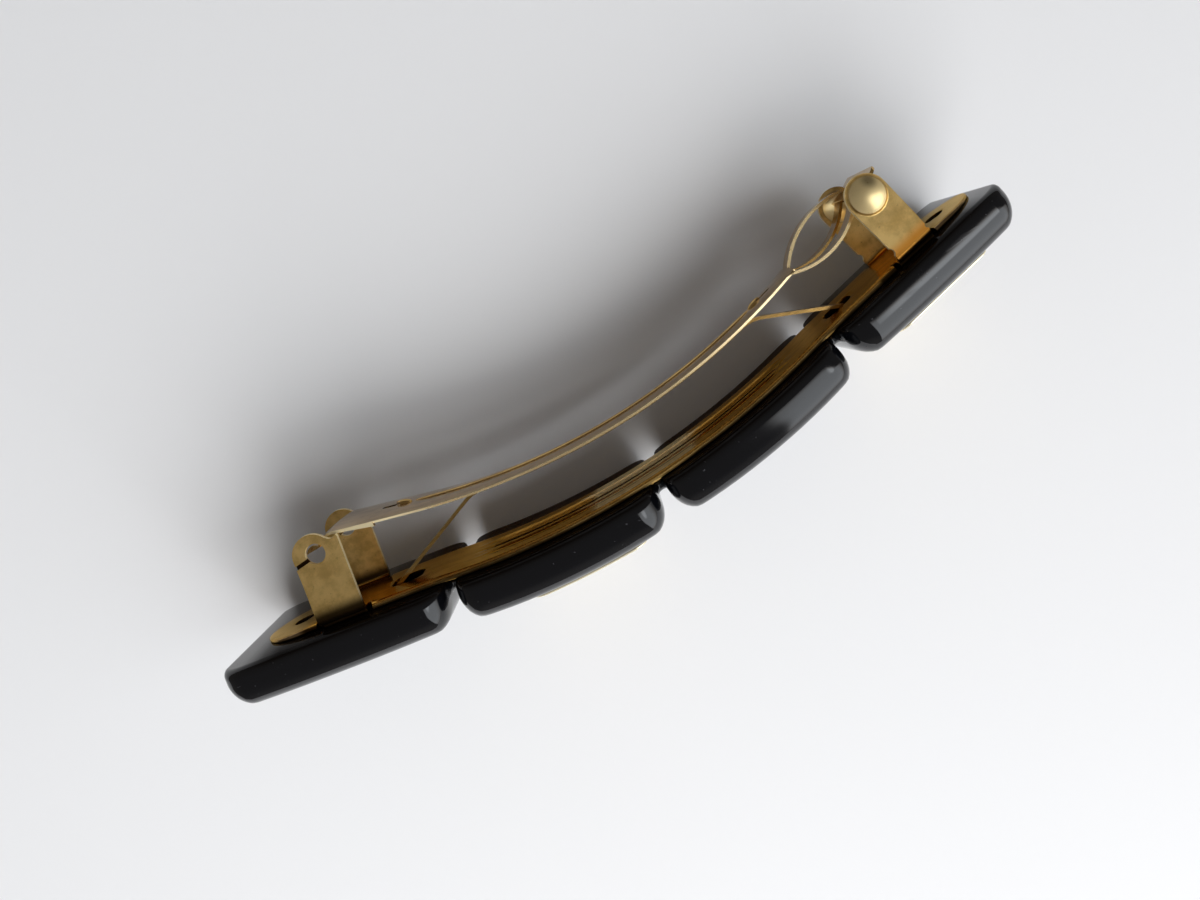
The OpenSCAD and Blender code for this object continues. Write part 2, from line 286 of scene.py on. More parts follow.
def finish(obj, body, nodes, material, smooth=32, flat_weight=True):
    """Brings a piece to metres, smooths it and ties it to its body."""
    outward(obj)
    move_mesh(obj, Matrix.Scale(MM, 4) @ Matrix.Translation(BOW_ORIGIN))
    take(obj)
    bpy.ops.object.shade_smooth_by_angle(angle=math.radians(smooth), keep_sharp_edges=False)
    if flat_weight:
        weighted = obj.modifiers.new("flat faces stay flat", "WEIGHTED_NORMAL")
        weighted.keep_sharp = True
        bpy.ops.object.modifier_apply(modifier=weighted.name)
    obj.data.materials.clear()
    obj.data.materials.append(material)
    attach(obj, body)
    if nodes:
        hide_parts(*nodes)
    return obj


# Curves of the object

def arc(cx, cy, r, a0, a1, steps):
    """Points of an arc, angles in degrees, both ends included."""
    return [
        (cx + r * math.cos(math.radians(a)), cy + r * math.sin(math.radians(a)))
        for a in (a0 + (a1 - a0) * i / steps for i in range(steps + 1))
    ]


def inset(r, d):
    """How far a quarter round of radius r stands back at distance d from the end."""
    return 0.0 if d >= r else r - math.sqrt(r * r - (r - d) ** 2)


def quarter_steps(r, steps=8):
    return [r * (1 - math.cos(math.radians(90 * i / steps))) for i in range(steps + 1)]


def rounded_section(width, depth, front, back, steps=7):
    """Rounded rectangle as shares of its box: u from front to back, v across."""
    points = []
    for u, v, r, start in ((0, 0, front, 180), (1, 0, back, 270), (1, 1, back, 0), (0, 1, front, 90)):
        cu = r if u == 0 else depth - r
        cv = r if v == 0 else width - r
        points += [(a / depth, b / width) for a, b in arc(cu, cv, r, start, start + 90, steps)]
    return points


def ribbon(points, thickness):
    """Outline of a strip of sheet that follows a line of points."""
    left, right = [], []
    for i, point in enumerate(points):
        a = Vector(points[max(i - 1, 0)])
        b = Vector(points[min(i + 1, len(points) - 1)])
        along = (b - a).normalized()
        side = Vector((-along.y, along.x)) * thickness / 2
        left.append(tuple(Vector(point) + side))
        right.append(tuple(Vector(point) - side))
    return left + right[::-1]


def bow_point(s):
    """Point of the tile backs at arc length s from the middle."""
    side = math.copysign(1, s)
    s = abs(s)
    if s <= BOW_S:
        return side * BOW_R * math.sin(s / BOW_R), BOW_R * (1 - math.cos(s / BOW_R))
    s -= BOW_S
    return side * (BOW_X + s * math.cos(END_SLOPE)), BOW_Y + s * math.sin(END_SLOPE)


def bow_place(s, n):
    """Point at arc length s and height n above the tile backs."""
    x, y = bow_point(s)
    slope = math.copysign(END_SLOPE, s) if abs(s) > BOW_S else s / BOW_R
    return x - n * math.sin(slope), y + n * math.cos(slope)


def bow_length(x):
    """Arc length at place x of the bow."""
    return BOW_R * math.asin(x / BOW_R)


def bend(obj):
    """Bends a flat piece, drawn with X as arc length, along the bow."""
    count = 480
    curve = bpy.data.curves.new("bow path", "CURVE")
    curve.dimensions = "2D"
    spline = curve.splines.new("POLY")
    spline.points.add(count)
    for i, point in enumerate(spline.points):
        x, y = bow_point(-PATH_START + 2 * PATH_START * i / count)
        point.co = (x, y, 0, 1)
    path = bpy.data.objects.new("bow path", curve)
    bpy.context.collection.objects.link(path)
    move_mesh(obj, Matrix.Translation((PATH_START, 0, 0)))
    follow = obj.modifiers.new("follow the bow", "CURVE")
    follow.object = path
    follow.deform_axis = "POS_X"
    bpy.ops.object.modifier_apply(modifier=follow.name)
    bpy.data.objects.remove(path)
    bpy.data.curves.remove(curve)
    return obj


def rounded_line(points, radius, steps=6):
    """A line of points with its corners rounded."""
    points = [Vector(p) for p in points]
    out = [tuple(points[0])]
    for before, corner, after in zip(points, points[1:], points[2:]):
        a = (before - corner).normalized()
        b = (after - corner).normalized()
        half = a.angle(b) / 2
        reach = radius / math.tan(half)
        centre = corner + (a + b).normalized() * radius / math.sin(half)
        start, end = corner + a * reach - centre, corner + b * reach - centre
        turn = start.angle_signed(end)
        for i in range(steps + 1):
            angle = -turn * i / steps
            spot = Vector((start.x * math.cos(angle) - start.y * math.sin(angle),
                           start.x * math.sin(angle) + start.y * math.cos(angle)))
            out.append(tuple(centre + spot))
    out.append(tuple(points[-1]))
    return out


def prism(name, points, push):
    """Flat outline of (x, y, z) corners, extruded by a vector."""
    obj = outline(name, points)
    edit_all(obj)
    bpy.ops.mesh.extrude_region_move(TRANSFORM_OT_translate={"value": push})
    bpy.ops.object.mode_set(mode="OBJECT")
    outward(obj)
    return obj


def plan_prism(name, points, y0, y1):
    """Outline in X and Z, seen from the head, extruded from y0 to y1."""
    return prism(name, [(x, y0, z) for x, z in points], (0, y1 - y0, 0))


def slices(obj, places):
    """Cuts the faces of a piece across X so that it can bend."""
    for x in places:
        edit_all(obj)
        bpy.ops.mesh.bisect(plane_co=(x, 0, 0), plane_no=(1, 0, 0))
    bpy.ops.object.mode_set(mode="OBJECT")


def box(name, low, high):
    low, high = Vector(low), Vector(high)
    clear_selection()
    bpy.ops.mesh.primitive_cube_add(size=1.0)
    obj = bpy.context.object
    obj.name = name
    return move_mesh(obj, Matrix.Translation((low + high) / 2) @ Matrix.Diagonal((*(high - low), 1)))


def spread(start, end, step):
    """Evenly spaced numbers from start to end, about a step apart."""
    count = max(1, round(abs(end - start) / step))
    return [start + (end - start) * i / count for i in range(count + 1)]


def share(value, none, full):
    """0 at one value, 1 at the other, straight between."""
    return min(max((value - none) / (full - none), 0.0), 1.0)


def bump_shape(t):
    """Smooth bump from 0 at -1 over 1 at 0 to 0 at 1."""
    return 0.0 if abs(t) >= 1 else 0.5 + 0.5 * math.cos(math.pi * t)


# Materials

class Value:
    """A socket whose Python arithmetic adds Math nodes."""

    def __init__(self, tree, socket):
        self.tree = tree
        self.socket = socket

    def math(self, operation, *inputs):
        """Math node of the given operation."""
        node = self.tree.add("ShaderNodeMath", {"operation": operation}, dict(enumerate(inputs)))
        return Value(self.tree, node.outputs[0])

    def __add__(self, other):
        return self.math("ADD", self, other)

    __radd__ = __add__

    def __sub__(self, other):
        return self.math("SUBTRACT", self, other)

    def __rsub__(self, other):
        return self.math("SUBTRACT", other, self)

    def __mul__(self, other):
        return self.math("MULTIPLY", self, other)

    def ramp(self, low, high):
        """0 at low, 1 at high, smooth between."""
        node = self.tree.add(
            "ShaderNodeMapRange", {"interpolation_type": "SMOOTHSTEP"},
            {"Value": self, "From Min": low, "From Max": high, "To Min": 0.0, "To Max": 1.0},
        )
        return Value(self.tree, node.outputs["Result"])


class Nodes:
    """A node tree that is built by short calls."""

    def __init__(self, tree):
        self.nodes = tree.nodes
        self.links = tree.links

    def feed(self, socket, value):
        """Links a socket, or sets its value."""
        if isinstance(value, Value):
            value = value.socket
        if isinstance(value, bpy.types.NodeSocket):
            self.links.new(value, socket)
        else:
            socket.default_value = value

    def add(self, kind, settings=None, sockets=None):
        """Adds a node, with its settings first and its sockets next."""
        node = self.nodes.new(kind)
        for key, value in (settings or {}).items():
            setattr(node, key, value)
        for key, value in (sockets or {}).items():
            self.feed(node.inputs[key], value)
        return node

    def along(self, way, direction):
        """How far a vector points along a direction."""
        node = self.add("ShaderNodeVectorMath", {"operation": "DOT_PRODUCT"}, {0: way, 1: direction})
        return Value(self, node.outputs["Value"])

    def mix(self, factor, a, b):
        node = self.add("ShaderNodeMix", {"data_type": "RGBA"}, {0: factor, 6: colour4(a), 7: colour4(b)})
        return node.outputs[2]


class Finish(Nodes):
    """A material and the nodes that make it."""

    def __init__(self, name, **shader):
        self.material = bpy.data.materials.new(name)
        self.material.use_nodes = True
        super().__init__(self.material.node_tree)
        self.shader = self.nodes["Principled BSDF"]
        for key, value in shader.items():
            self.set(key.replace("_", " "), value)
        self.place = self.add("ShaderNodeTexCoord").outputs["Object"]

    def set(self, socket, value):
        self.feed(self.shader.inputs[socket], value)

    def axis(self, letter):
        return Value(self, self.add("ShaderNodeSeparateXYZ", None, {0: self.place}).outputs[letter])

    def noise(self, scale, detail=3.0, roughness=0.5, stretch=(1, 1, 1)):
        """Noise with about so many features to a metre."""
        where = self.add("ShaderNodeMapping", None, {"Vector": self.place, "Scale": stretch})
        node = self.add("ShaderNodeTexNoise", None, {
            "Vector": where.outputs[0], "Scale": scale, "Detail": detail, "Roughness": roughness})
        return Value(self, node.outputs["Fac"])

    def steepness(self):
        """How far a face looks along the hinge axis, 0 to 1."""
        normal = self.add("ShaderNodeTexCoord").outputs["Normal"]
        upright = self.along(normal, (0, 0, 1))
        return upright.math("ABSOLUTE", upright)

    def from_middle(self, letter, middle):
        """Distance from a plane across one axis, in metres."""
        offset = self.axis(letter) - middle
        return offset.math("ABSOLUTE", offset)

    def painted(self, name):
        """Number that a mesh carries at its points."""
        return Value(self, self.add("ShaderNodeAttribute", {"attribute_name": name}).outputs["Fac"])

    def near(self, spot, inner, outer):
        """1 within a distance of a spot (in metres), 0 past the outer distance."""
        node = self.add("ShaderNodeVectorMath", {"operation": "DISTANCE"}, {0: self.place, 1: spot})
        return Value(self, node.outputs["Value"]).ramp(outer, inner)

    def bump(self, height, distance, strength=1.0, normal=None):
        sockets = {"Height": height, "Distance": distance, "Strength": strength}
        if normal is not None:
            sockets["Normal"] = normal
        return self.add("ShaderNodeBump", None, sockets).outputs[0]


def colour4(value):
    """A colour with its fourth number, or the socket that gives it."""
    if isinstance(value, bpy.types.NodeSocket):
        return value
    return (*tuple(value)[:3], 1.0)


def shaded(colour, factor):
    return tuple(c * factor for c in colour)


DUST = (0.10, 0.10, 0.11)
# Painted shade for the back of the strip, and its brown painted reflection next to the paper
PAINTED_SHADE_BLACK, WARM_PAINTED_REFLECTION = (0.006, 0.004, 0.003), (0.034, 0.015, 0.004)


def black_plastic(colour):
    """Moulded gloss plastic, with faint polishing scratches and a little dust.

    The attribute back is the share of painted shade: a dark matt surface that stands in for the shaded
    paper that the glossy back mirrors. On the half next to the paper it is browned as a painted
    reflection of warm light from the brass."""
    f = Finish("black gloss plastic", IOR=1.5, Specular_IOR_Level=0.5)
    film = f.noise(260, 4, 0.55)
    scratches = f.noise(900, 2, 0.6, (0.15, 1, 1)).ramp(0.62, 0.7)
    specks = f.noise(2600, 1, 0.5).ramp(0.74, 0.8)
    f.set("Base Color", f.mix(specks * 0.25, colour, DUST))
    f.set("Roughness", 0.045 + film * 0.05 + scratches * 0.06 + specks * 0.2)
    ripple = f.bump(f.noise(120, 1, 0.4), 0.00006, 0.5)
    f.set("Normal", f.bump(scratches, 0.000004, 0.25, ripple))
    # Painted shade on the back, browned next to the paper as a painted reflection
    painted_back_tone = f.mix(f.axis("Z").ramp(13.0 * MM, 9.0 * MM), PAINTED_SHADE_BLACK, WARM_PAINTED_REFLECTION)
    matt = f.add("ShaderNodeBsdfDiffuse", None, {"Color": painted_back_tone})
    painted_back_share = f.painted("back") * (0.72 + film * 0.25)
    both = f.add("ShaderNodeMixShader", None, {0: painted_back_share, 1: f.shader.outputs[0], 2: matt.outputs[0]})
    f.feed(f.nodes["Material Output"].inputs["Surface"], both.outputs[0])
    return f.material


# Tones of brass that isn't bright rolled sheet, and tones that are painted highlight, reflection and
# shade
SATIN_LIGHT, SATIN_DARK = (1.0, 0.70, 0.27), (0.46, 0.28, 0.075)
# Polished domes, painted paler as a highlight
POLISHED_PAINTED_HIGHLIGHT = (0.85, 0.70, 0.38)
# Painted amber reflection low on the near clasp ear
AMBER_PAINTED_REFLECTION = (0.85, 0.36, 0.05)
# Cut edges painted pale as a highlight
CUT_EDGE_HIGHLIGHT = (0.92, 0.79, 0.49)
# Painted reflection of shaded paper on the tabs, mottled
TAB_REFLECTION_LIGHT, TAB_REFLECTION_DARK = (0.30, 0.22, 0.13), (0.15, 0.11, 0.07)
# Painted shade in creases, sunk places and along low edges, also a dark smudge on a dome
PAINTED_SHADE_AND_SMUDGE = (0.022, 0.010, 0.003)
# Share of each of red, green and blue that is left in the streaks
STREAK_SHARES = (0.46, 0.38, 0.28)
EAR_REFLECTION = (1.0, 0.80, 0.45)


def brass(name, colour, lacquer=0.0, marks=None, edge=(1.0, 1.0, 1.0)):
    """Brass sheet: streaks from rolling, tarnish in soft patches, small pits.

    Rolled sheet is glossy and streaked along its length. The marks are shares of
    rubbed matt sheet, polished domes painted paler as a highlight, a painted amber
    reflection, painted shade with a dark smudge, cut edges painted pale as a highlight,
    and a painted reflection of shaded paper. The attribute groove is the share of
    painted shade in sunk places. The edge is the colour of glancing reflections."""
    f = Finish(name, Coat_Weight=lacquer, Coat_Roughness=0.12, Specular_Tint=colour4(edge))
    satin, domes, amber_reflection, shade_and_smudge, edge_highlight, tab_reflection = marks(f) if marks else (0.0,) * 6
    # Painted shade in sunk places
    sunk_shade = f.painted("groove")
    dark = shaded(colour, 0.34)
    deep = tuple(c * left for c, left in zip(colour, STREAK_SHARES))
    streaks = f.noise(1300, 3, 0.6, (0.015, 1, 1)).ramp(0.42, 0.62)
    patches = f.noise(420, 5, 0.62).ramp(0.38, 0.66)
    pits = f.noise(1900, 2, 0.6).ramp(0.66, 0.76)
    haze = f.noise(160, 3, 0.55).ramp(0.35, 0.7)
    tone = f.mix(streaks * 0.38 + haze * 0.2, shaded(colour, 1.12), deep)
    rubbed = f.mix(patches * 0.62 + haze * 0.2, SATIN_LIGHT, SATIN_DARK)
    # Domes painted paler as a highlight
    tone = f.mix(domes * 0.8, f.mix(satin, tone, rubbed), POLISHED_PAINTED_HIGHLIGHT)
    tone = f.mix(pits * 0.35, tone, dark)
    # Painted amber reflection, pale cut edges as painted highlight, and tabs with a painted reflection of
    # shaded paper
    tone = f.mix(amber_reflection, tone, AMBER_PAINTED_REFLECTION)
    tone = f.mix(edge_highlight, tone, CUT_EDGE_HIGHLIGHT)
    tone = f.mix(tab_reflection, tone, f.mix(patches, TAB_REFLECTION_LIGHT, TAB_REFLECTION_DARK))
    # Painted shade, with a dark smudge on one dome
    tone = f.mix(shade_and_smudge + sunk_shade * (1 - shade_and_smudge), tone, PAINTED_SHADE_AND_SMUDGE)
    f.set("Base Color", tone)
    f.set("Metallic", 1 - satin * 0.10 - domes * 0.22 - edge_highlight * 0.45)
    shine = 0.11 + streaks * 0.07 + haze * 0.06 + pits * 0.1
    f.set("Roughness", shine + satin * 0.22 + patches * satin * 0.07 + domes * 0.17 + edge_highlight * 0.2)
    lean = f.bump(f.axis("Y") * satin * -0.13, 1.0)
    wave = f.bump(f.noise(240, 2, 0.5), 0.000030, 0.35, lean)
    grain = f.noise(2600, 3, 0.6, (0.05, 1, 1)) * (1 - satin) + f.noise(2600, 3, 0.6) * satin
    f.set("Normal", f.bump(grain, 0.000006, 0.5, wave))
    return f.material


# Paler rim of the gilt panels, a painted highlight
GILT_RIM_HIGHLIGHT = (0.98, 0.90, 0.66)


def gilt(colour):
    """Thin gilt plate: fine brushing along its length, rubbed places and a paler rim that is a painted
    highlight.
    """
    f = Finish("gilt plate")
    # Painted highlight on the rim
    rim_highlight = f.steepness().ramp(0.3, 0.7)
    brushing = f.noise(2400, 2, 0.6, (0.05, 1, 1))
    rubbed = f.noise(240, 4, 0.6).ramp(0.5, 0.75)
    f.set("Base Color", f.mix(rim_highlight, f.mix(rubbed * 0.4, colour, shaded(colour, 0.75)), GILT_RIM_HIGHLIGHT))
    f.set("Metallic", 1 - rim_highlight * 0.3)
    f.set("Roughness", 0.15 + brushing * 0.12 + rubbed * 0.1)
    f.set("Normal", f.bump(brushing, 0.000008, 0.5))
    return f.material


def paper(colour):
    f = Finish("paper", Roughness=0.85)
    cloud = f.noise(25, 3, 0.5)
    f.set("Base Color", f.mix(cloud * 0.35, colour, shaded(colour, 0.97)))
    f.set("Normal", f.bump(f.noise(2500, 3, 0.6), 0.00002, 0.25))
    return f.material


# Strip of tiles

# Places of the three grooves along X
GROOVES = (-22.6, 0.8, 24.1)
# Length of the straight ends of the strip
END_HINGE = 23.694
END_CLASP = 23.294
# Rounding of the back at the tile ends, and how far the front falls from its middle to them
HEEL_ROUND = 0.45
CROWN = 0.22
TILE_STEP = 1.6
LEAST_STEP = 0.015
# The bridge lies under the tile backs and gets thinner and narrower to its middle
BRIDGE_BACK = 0.15
BRIDGE_HOLLOW = 0.2
NECK_SIDE_ROUND = 0.6
# Where the painted shade on the back fades out and where it is full: below the back faces, along the
# middle of the strip, and along and across the part on one side that reaches further
BACK_SHADE_DEPTH = (-0.6, -0.3)
BACK_SHADE_MIDDLE = (33.0, 26.0)
BACK_SHADE_SIDE_X = (45.0, 42.0)
BACK_SHADE_SIDE_Z = (13.0, 15.5)


def tile_stations(start, end, end_rounds, sizes):
    """Stations of one tile. Its two ends are rounded by their own front radius."""
    thick = sized(sizes, "thickness")
    corner = sized(sizes, "corner_round")
    steps = sorted(
        {start + d for r in (end_rounds[0], corner) for d in quarter_steps(r)}
        | {end - d for r in (end_rounds[1], corner) for d in quarter_steps(r)}
        | set(spread(start, end, TILE_STEP))
    )
    places = [steps[0]]
    for x in steps[1:]:
        if x - places[-1] > LEAST_STEP:
            places.append(x)
    places[-1] = end
    out = []
    for x in places:
        near, far = x - start, end - x
        front = max(inset(end_rounds[0], near), inset(end_rounds[1], far))
        side = max(inset(corner, near), inset(corner, far))
        heel = max(inset(HEEL_ROUND, near), inset(HEEL_ROUND, far))
        swell = CROWN * abs((x - (start + end) / 2) / ((end - start) / 2)) ** 2.5
        out.append((x, -thick + max(front, swell), -heel, side, STRIP_W - side))
    return out


def neck_stations(middle, sizes):
    """Stations of the hollow neck between two tiles."""
    half = sized(sizes, "groove") / 2
    notch = sized(sizes, "notch")
    front = -BRIDGE_BACK - sized(sizes, "bridge")
    out = []
    for angle in (math.pi * i / 10 for i in range(11)):
        share_hollow = math.sin(angle)
        hollow = BRIDGE_HOLLOW * share_hollow
        side = notch - NECK_SIDE_ROUND * (1 - share_hollow)
        x = middle - half * math.cos(angle)
        out.append((x, front + hollow, -BRIDGE_BACK - hollow, side, STRIP_W - side))
    return out


class BARRETTE_OT_strip(Operator):
    """Moulds the four black tiles and the necks between them"""

    bl_idname = "barrette.strip"
    bl_label = "Tile strip"

    def execute(self, context):
        sizes = context.scene.barrette_strip
        half = sized(sizes, "groove") / 2
        corner = sized(sizes, "corner_round")
        tip = sized(sizes, "end_round")
        grooves = [bow_length(x) for x in GROOVES[:2]]
        grooves.append(BOW_S + (GROOVES[2] - BOW_X) / math.cos(END_SLOPE))
        edges = [-BOW_S - END_HINGE] + grooves + [BOW_S + END_CLASP]
        stations = []
        for i in range(4):
            start = edges[i] + (half if i > 0 else 0)
            end = edges[i + 1] - (half if i < 3 else 0)
            rounds = (tip if i == 0 else corner, tip if i == 3 else corner)
            stations += tile_stations(start, end, rounds, sizes)
            if i < 3:
                stations += neck_stations(edges[i + 1], sizes)
        long_rounds = sized(sizes, "front_round"), sized(sizes, "back_round")
        section = rounded_section(STRIP_W, sized(sizes, "thickness"), *long_rounds, 12)
        obj = loft("tile_strip", section, stations)
        self.mark_painted_back_shade(obj)
        bend(obj)
        finish(obj, "clip_base", ["front_strip"], black_plastic(sizes.colour), 40, False)
        return {"FINISHED"}

    def mark_painted_back_shade(self, obj):
        """Share of painted shade on the back: all of it in the middle, and only one side near the ends.
        """
        back = obj.data.attributes.new("back", "FLOAT", "POINT")
        for vertex in obj.data.vertices:
            x, y, z = vertex.co
            middle = share(abs(x), *BACK_SHADE_MIDDLE)
            side = share(z, *BACK_SHADE_SIDE_Z) * share(abs(x), *BACK_SHADE_SIDE_X)
            back.data[vertex.index].value = share(y, *BACK_SHADE_DEPTH) * max(middle, side)


# Gilt panels

PANEL_CORNER = 1.5
PANEL_EDGE = 0.17
PANEL_GAP = 0.02
PANEL_MIDDLES = {"panel_second_tile": bow_length(-9.3), "panel_last_tile": BOW_S + 12.3}


def rounded_rectangle(cx, cy, length, width, r, steps=6):
    points = []
    for i, j, start in ((1, 1, 0), (-1, 1, 90), (-1, -1, 180), (1, -1, 270)):
        points += arc(cx + i * (length / 2 - r), cy + j * (width / 2 - r), r, start, start + 90, steps)
    return points


class BARRETTE_OT_panels(Operator):
    """Makes the two gilt panels on the front of the second and the last tile"""

    bl_idname = "barrette.panels"
    bl_label = "Gilt panels"

    def execute(self, context):
        sizes = context.scene.barrette_panel
        length = sized(sizes, "length")
        thick = sized(sizes, "thickness")
        front = -sized(context.scene.barrette_strip, "thickness") - PANEL_GAP
        material = gilt(sizes.colour)
        for node, middle in PANEL_MIDDLES.items():
            shape = rounded_rectangle(middle, STRIP_W / 2, length, sized(sizes, "width"), PANEL_CORNER)
            obj = plan_prism("gilt_" + node, shape, front - thick, front)
            soften(obj, PANEL_EDGE, 4)
            slices(obj, spread(middle - length / 2, middle + length / 2, 1.0)[1:-1])
            bend(obj)
            finish(obj, "clip_base", [node], material)
        return {"FINISHED"}


# Base plate. It is drawn flat, with X as length along the tile backs, and bent
# along the bow when its ears stand on it.

# Bevel along the edges of stamped sheet
SHEET_EDGE = 0.06
# Heights over the tile backs
BASE_TOP = 0.72
FOOT = 0.02
UNDERSIDE = 0.27
# The long edges roll down over this radius, round a line at this height
EDGE_ROLL = 0.42
EDGE_CENTRE = 0.3
# Ends of the base. Places on its two straight ends are counted from the ends of the arc.
BASE_HINGE = 20.55
BASE_CLASP = 22.3
BASE_STEP = 1.3
# The tabs are slimmer than the rest and get thinner and narrower to their tips
TAB_HALF = 4.35
TAB_TIP = 5.2
TAB_THIN = 0.42
# Holes in the tabs, this far from their tips
TAB_HOLE = 3.9
TAB_HOLE_R = 1.1
# Start and end of each pair of ears, and of the slots for the feet of the bar
HINGE_EAR = (8.1, 13.15)
CLASP_EAR = (10.8, 15.4)
HINGE_SLOT = (3.9, 6.3)
CLASP_SLOT = (3.4, 5.8)
SLOT_EXTRA = 1.2
SLOT_WIDTH = 3.1
# Cuts that free the ears from the flat sheet, this far past their ends. Their middles
# lie this far from the middle of the clip, after the end and before the start of an ear.
FREEING_GAP = 0.3
FREEING_CUT = (0.6, 3.0, 0.29)
FREEING_Z = (4.7, 5.0)
# Bends at the foot of the ears, which lie this skin deep inside the flat sheet
EAR_BEND = 0.9
EAR_BEND_INSIDE = 0.45
SKIN = 0.005
# Height of the ears before they are cut to their outline, by a block that reaches past both
EAR_UNCUT = 12.0
EAR_REACH = 7
# Hinge ears, with the place of the pivot along and above the tile backs
PIVOT_S = 10.81
PIVOT_N = 7.62
HINGE_EYE = (PIVOT_S + 0.3, PIVOT_N)
HINGE_EYE_R = 2.1
HINGE_NOTCH = (PIVOT_S - 2.06, PIVOT_N + 1.68)
HINGE_NOTCH_R = 0.75
BORE_R = 1.05
# Blind slit beside the bore. Its floor is this far from the middle of the clip.
SLIT_START = Vector((PIVOT_S + 0.85, PIVOT_N - 0.37))
SLIT_WAY = Vector((0.97, -0.24))
SLIT_ACROSS = Vector((0.24, 0.97))
SLIT_LENGTH = 2.2
SLIT_HALF = 0.21
SLIT_FLOOR = 4.9
# Clasp ears and their domes, which are caps of a ball
CLASP_HEAD = Vector((13.1, 7.9))
DOME_R = 2.1
DOME_H = 0.8
DOME_BALL = (DOME_R**2 + DOME_H**2) / (2 * DOME_H)
DOME_STEPS = 10
# Two beads and a groove between them, each with this half width
BEAD_Z = 1.9
BEAD_HEIGHT = 0.20
GROOVE_DEPTH = 0.32
LINE_HALF = 0.55
# They run out before this distance from the middle of the bow
LINES_END = 19.6
LINES_RUN_OUT = 1.8
# Points further across than this, or lower, stay where they are
LINES_REACH = 3.2
LINES_FLOOR = 0.25
# Painted shade in the groove, from none to full, and beside the beads
GROOVE_SHADE = (0.58, 0.32)
BEAD_SHADE_Z = 2.75
BEAD_SHADE_HALF = 0.32


def hinge_side(s):
    return -(BOW_S + s)


def clasp_side(s):
    return BOW_S + s


def depths(sign, near, far):
    """Z at two distances from the middle of the clip, on one side of it, the lower first."""
    return sorted((CLIP_Z + sign * near, CLIP_Z + sign * far))


def base_section(half):
    """Flat sheet whose long edges roll down to the tiles, as shares of its box."""
    edge = [(BASE_TOP, EDGE_ROLL)]
    for a in (math.radians(d) for d in (22, 45, 68, 90)):
        edge.append((EDGE_CENTRE + EDGE_ROLL * math.cos(a), EDGE_ROLL - EDGE_ROLL * math.sin(a)))
    edge += [(FOOT + 0.12, 0.0), (FOOT + 0.03, 0.04), (FOOT, 0.13), (FOOT, 0.36), (UNDERSIDE, 0.62)]
    one = [(u, -half + v) for u, v in edge]
    other = [(u, half - v) for u, v in reversed(edge)]
    top = [(BASE_TOP, v) for v in spread(half - EDGE_ROLL, -half + EDGE_ROLL, 0.14)[1:-1]]
    return [((u - FOOT) / (BASE_TOP - FOOT), (v + half) / (2 * half)) for u, v in one + other + top]


def tab_half(far, half):
    """Half width of the base at a distance from the tip of a tab."""
    share_left = 1 - min(far, TAB_TIP) / TAB_TIP
    return half * math.sqrt(max(1 - share_left**2, 0.01))


def base_sheet(half):
    """The flat sheet with its tabs, as long as the clip."""
    left, right = hinge_side(BASE_HINGE), clasp_side(BASE_CLASP)
    tips = [0, 0.06, 0.18, 0.36, 0.6, 0.9, 1.25, 1.7, 2.3, 3.1, 4.1]
    places = [left + t for t in tips] + spread(left + TAB_TIP, right - TAB_TIP, BASE_STEP)
    places += [right - t for t in reversed(tips)]
    stations = []
    for x in places:
        far = min(x - left, right - x)
        tab = x < hinge_side(HINGE_EAR[1] + 0.6) or x > clasp_side(CLASP_EAR[1] + 0.6)
        wide = tab_half(far, TAB_HALF if tab else half)
        top = BASE_TOP - TAB_THIN * share(far, BASE_CLASP - CLASP_EAR[1], 0.0)
        stations.append((x, FOOT, top, CLIP_Z - wide, CLIP_Z + wide))
    return loft("base_sheet", base_section(half), stations)


def ear_channel(s0, s1, side, sizes):
    """Sheet bent up at both sides, as long as a pair of ears is wide."""
    outer = sized(sizes, "ear_half")
    inner = outer - sized(sizes, "sheet")
    low = BASE_TOP - sized(sizes, "sheet") + SKIN
    top = BASE_TOP - SKIN
    big, small = EAR_BEND, EAR_BEND_INSIDE
    points = [(EAR_UNCUT, -outer)]
    points += arc(low + big, -outer + big, big, 270, 180, 7)
    points += arc(low + big, outer - big, big, 180, 90, 7)
    points += [(EAR_UNCUT, outer), (EAR_UNCUT, inner)]
    points += arc(top + small, inner - small, small, 90, 180, 5)
    points += arc(top + small, -inner + small, small, 180, 270, 5)
    points += [(EAR_UNCUT, -inner)]
    x0 = side(s0)
    return prism("ears", [(x0, y, CLIP_Z + z) for y, z in points], (side(s1) - x0, 0, 0))


def ear_outline(name, side, points):
    """Side view of a pair of ears, as a block through both."""
    return plate(name, [(side(s), n) for s, n in points], CLIP_Z - EAR_REACH, CLIP_Z + EAR_REACH)


def hinge_ears(sizes):
    """Ears with a round eye, a bore for the lugs and a slit in their outer faces."""
    s0, s1 = HINGE_EAR
    points = [(s0, 0.0), (s0, 8.6), *arc(*HINGE_NOTCH, HINGE_NOTCH_R, 225, 318, 6)]
    points += arc(*HINGE_EYE, HINGE_EYE_R, 145, 0, 21)
    points += [(s1 + 0.05, 6.6), (s1, 5.0), (s1, 0.0)]
    ears = ear_channel(s0 - 0.1, s1 + 0.3, hinge_side, sizes)
    trim(ears, ear_outline("hinge ear outline", hinge_side, points))
    hole = (hinge_side(PIVOT_S), PIVOT_N)
    cut(ears, cylinder("bore", BORE_R, (*hole, 0), (*hole, STRIP_W + 5), 56))
    half = SLIT_ACROSS * SLIT_HALF
    end = SLIT_START + SLIT_WAY * SLIT_LENGTH
    corners = (SLIT_START - half, end - half, end + half, SLIT_START + half)
    slit = [(hinge_side(s), n) for s, n in corners]
    for sign in (-1, 1):
        cut(ears, plate("slit", slit, *depths(sign, SLIT_FLOOR, EAR_REACH)))
    return ears


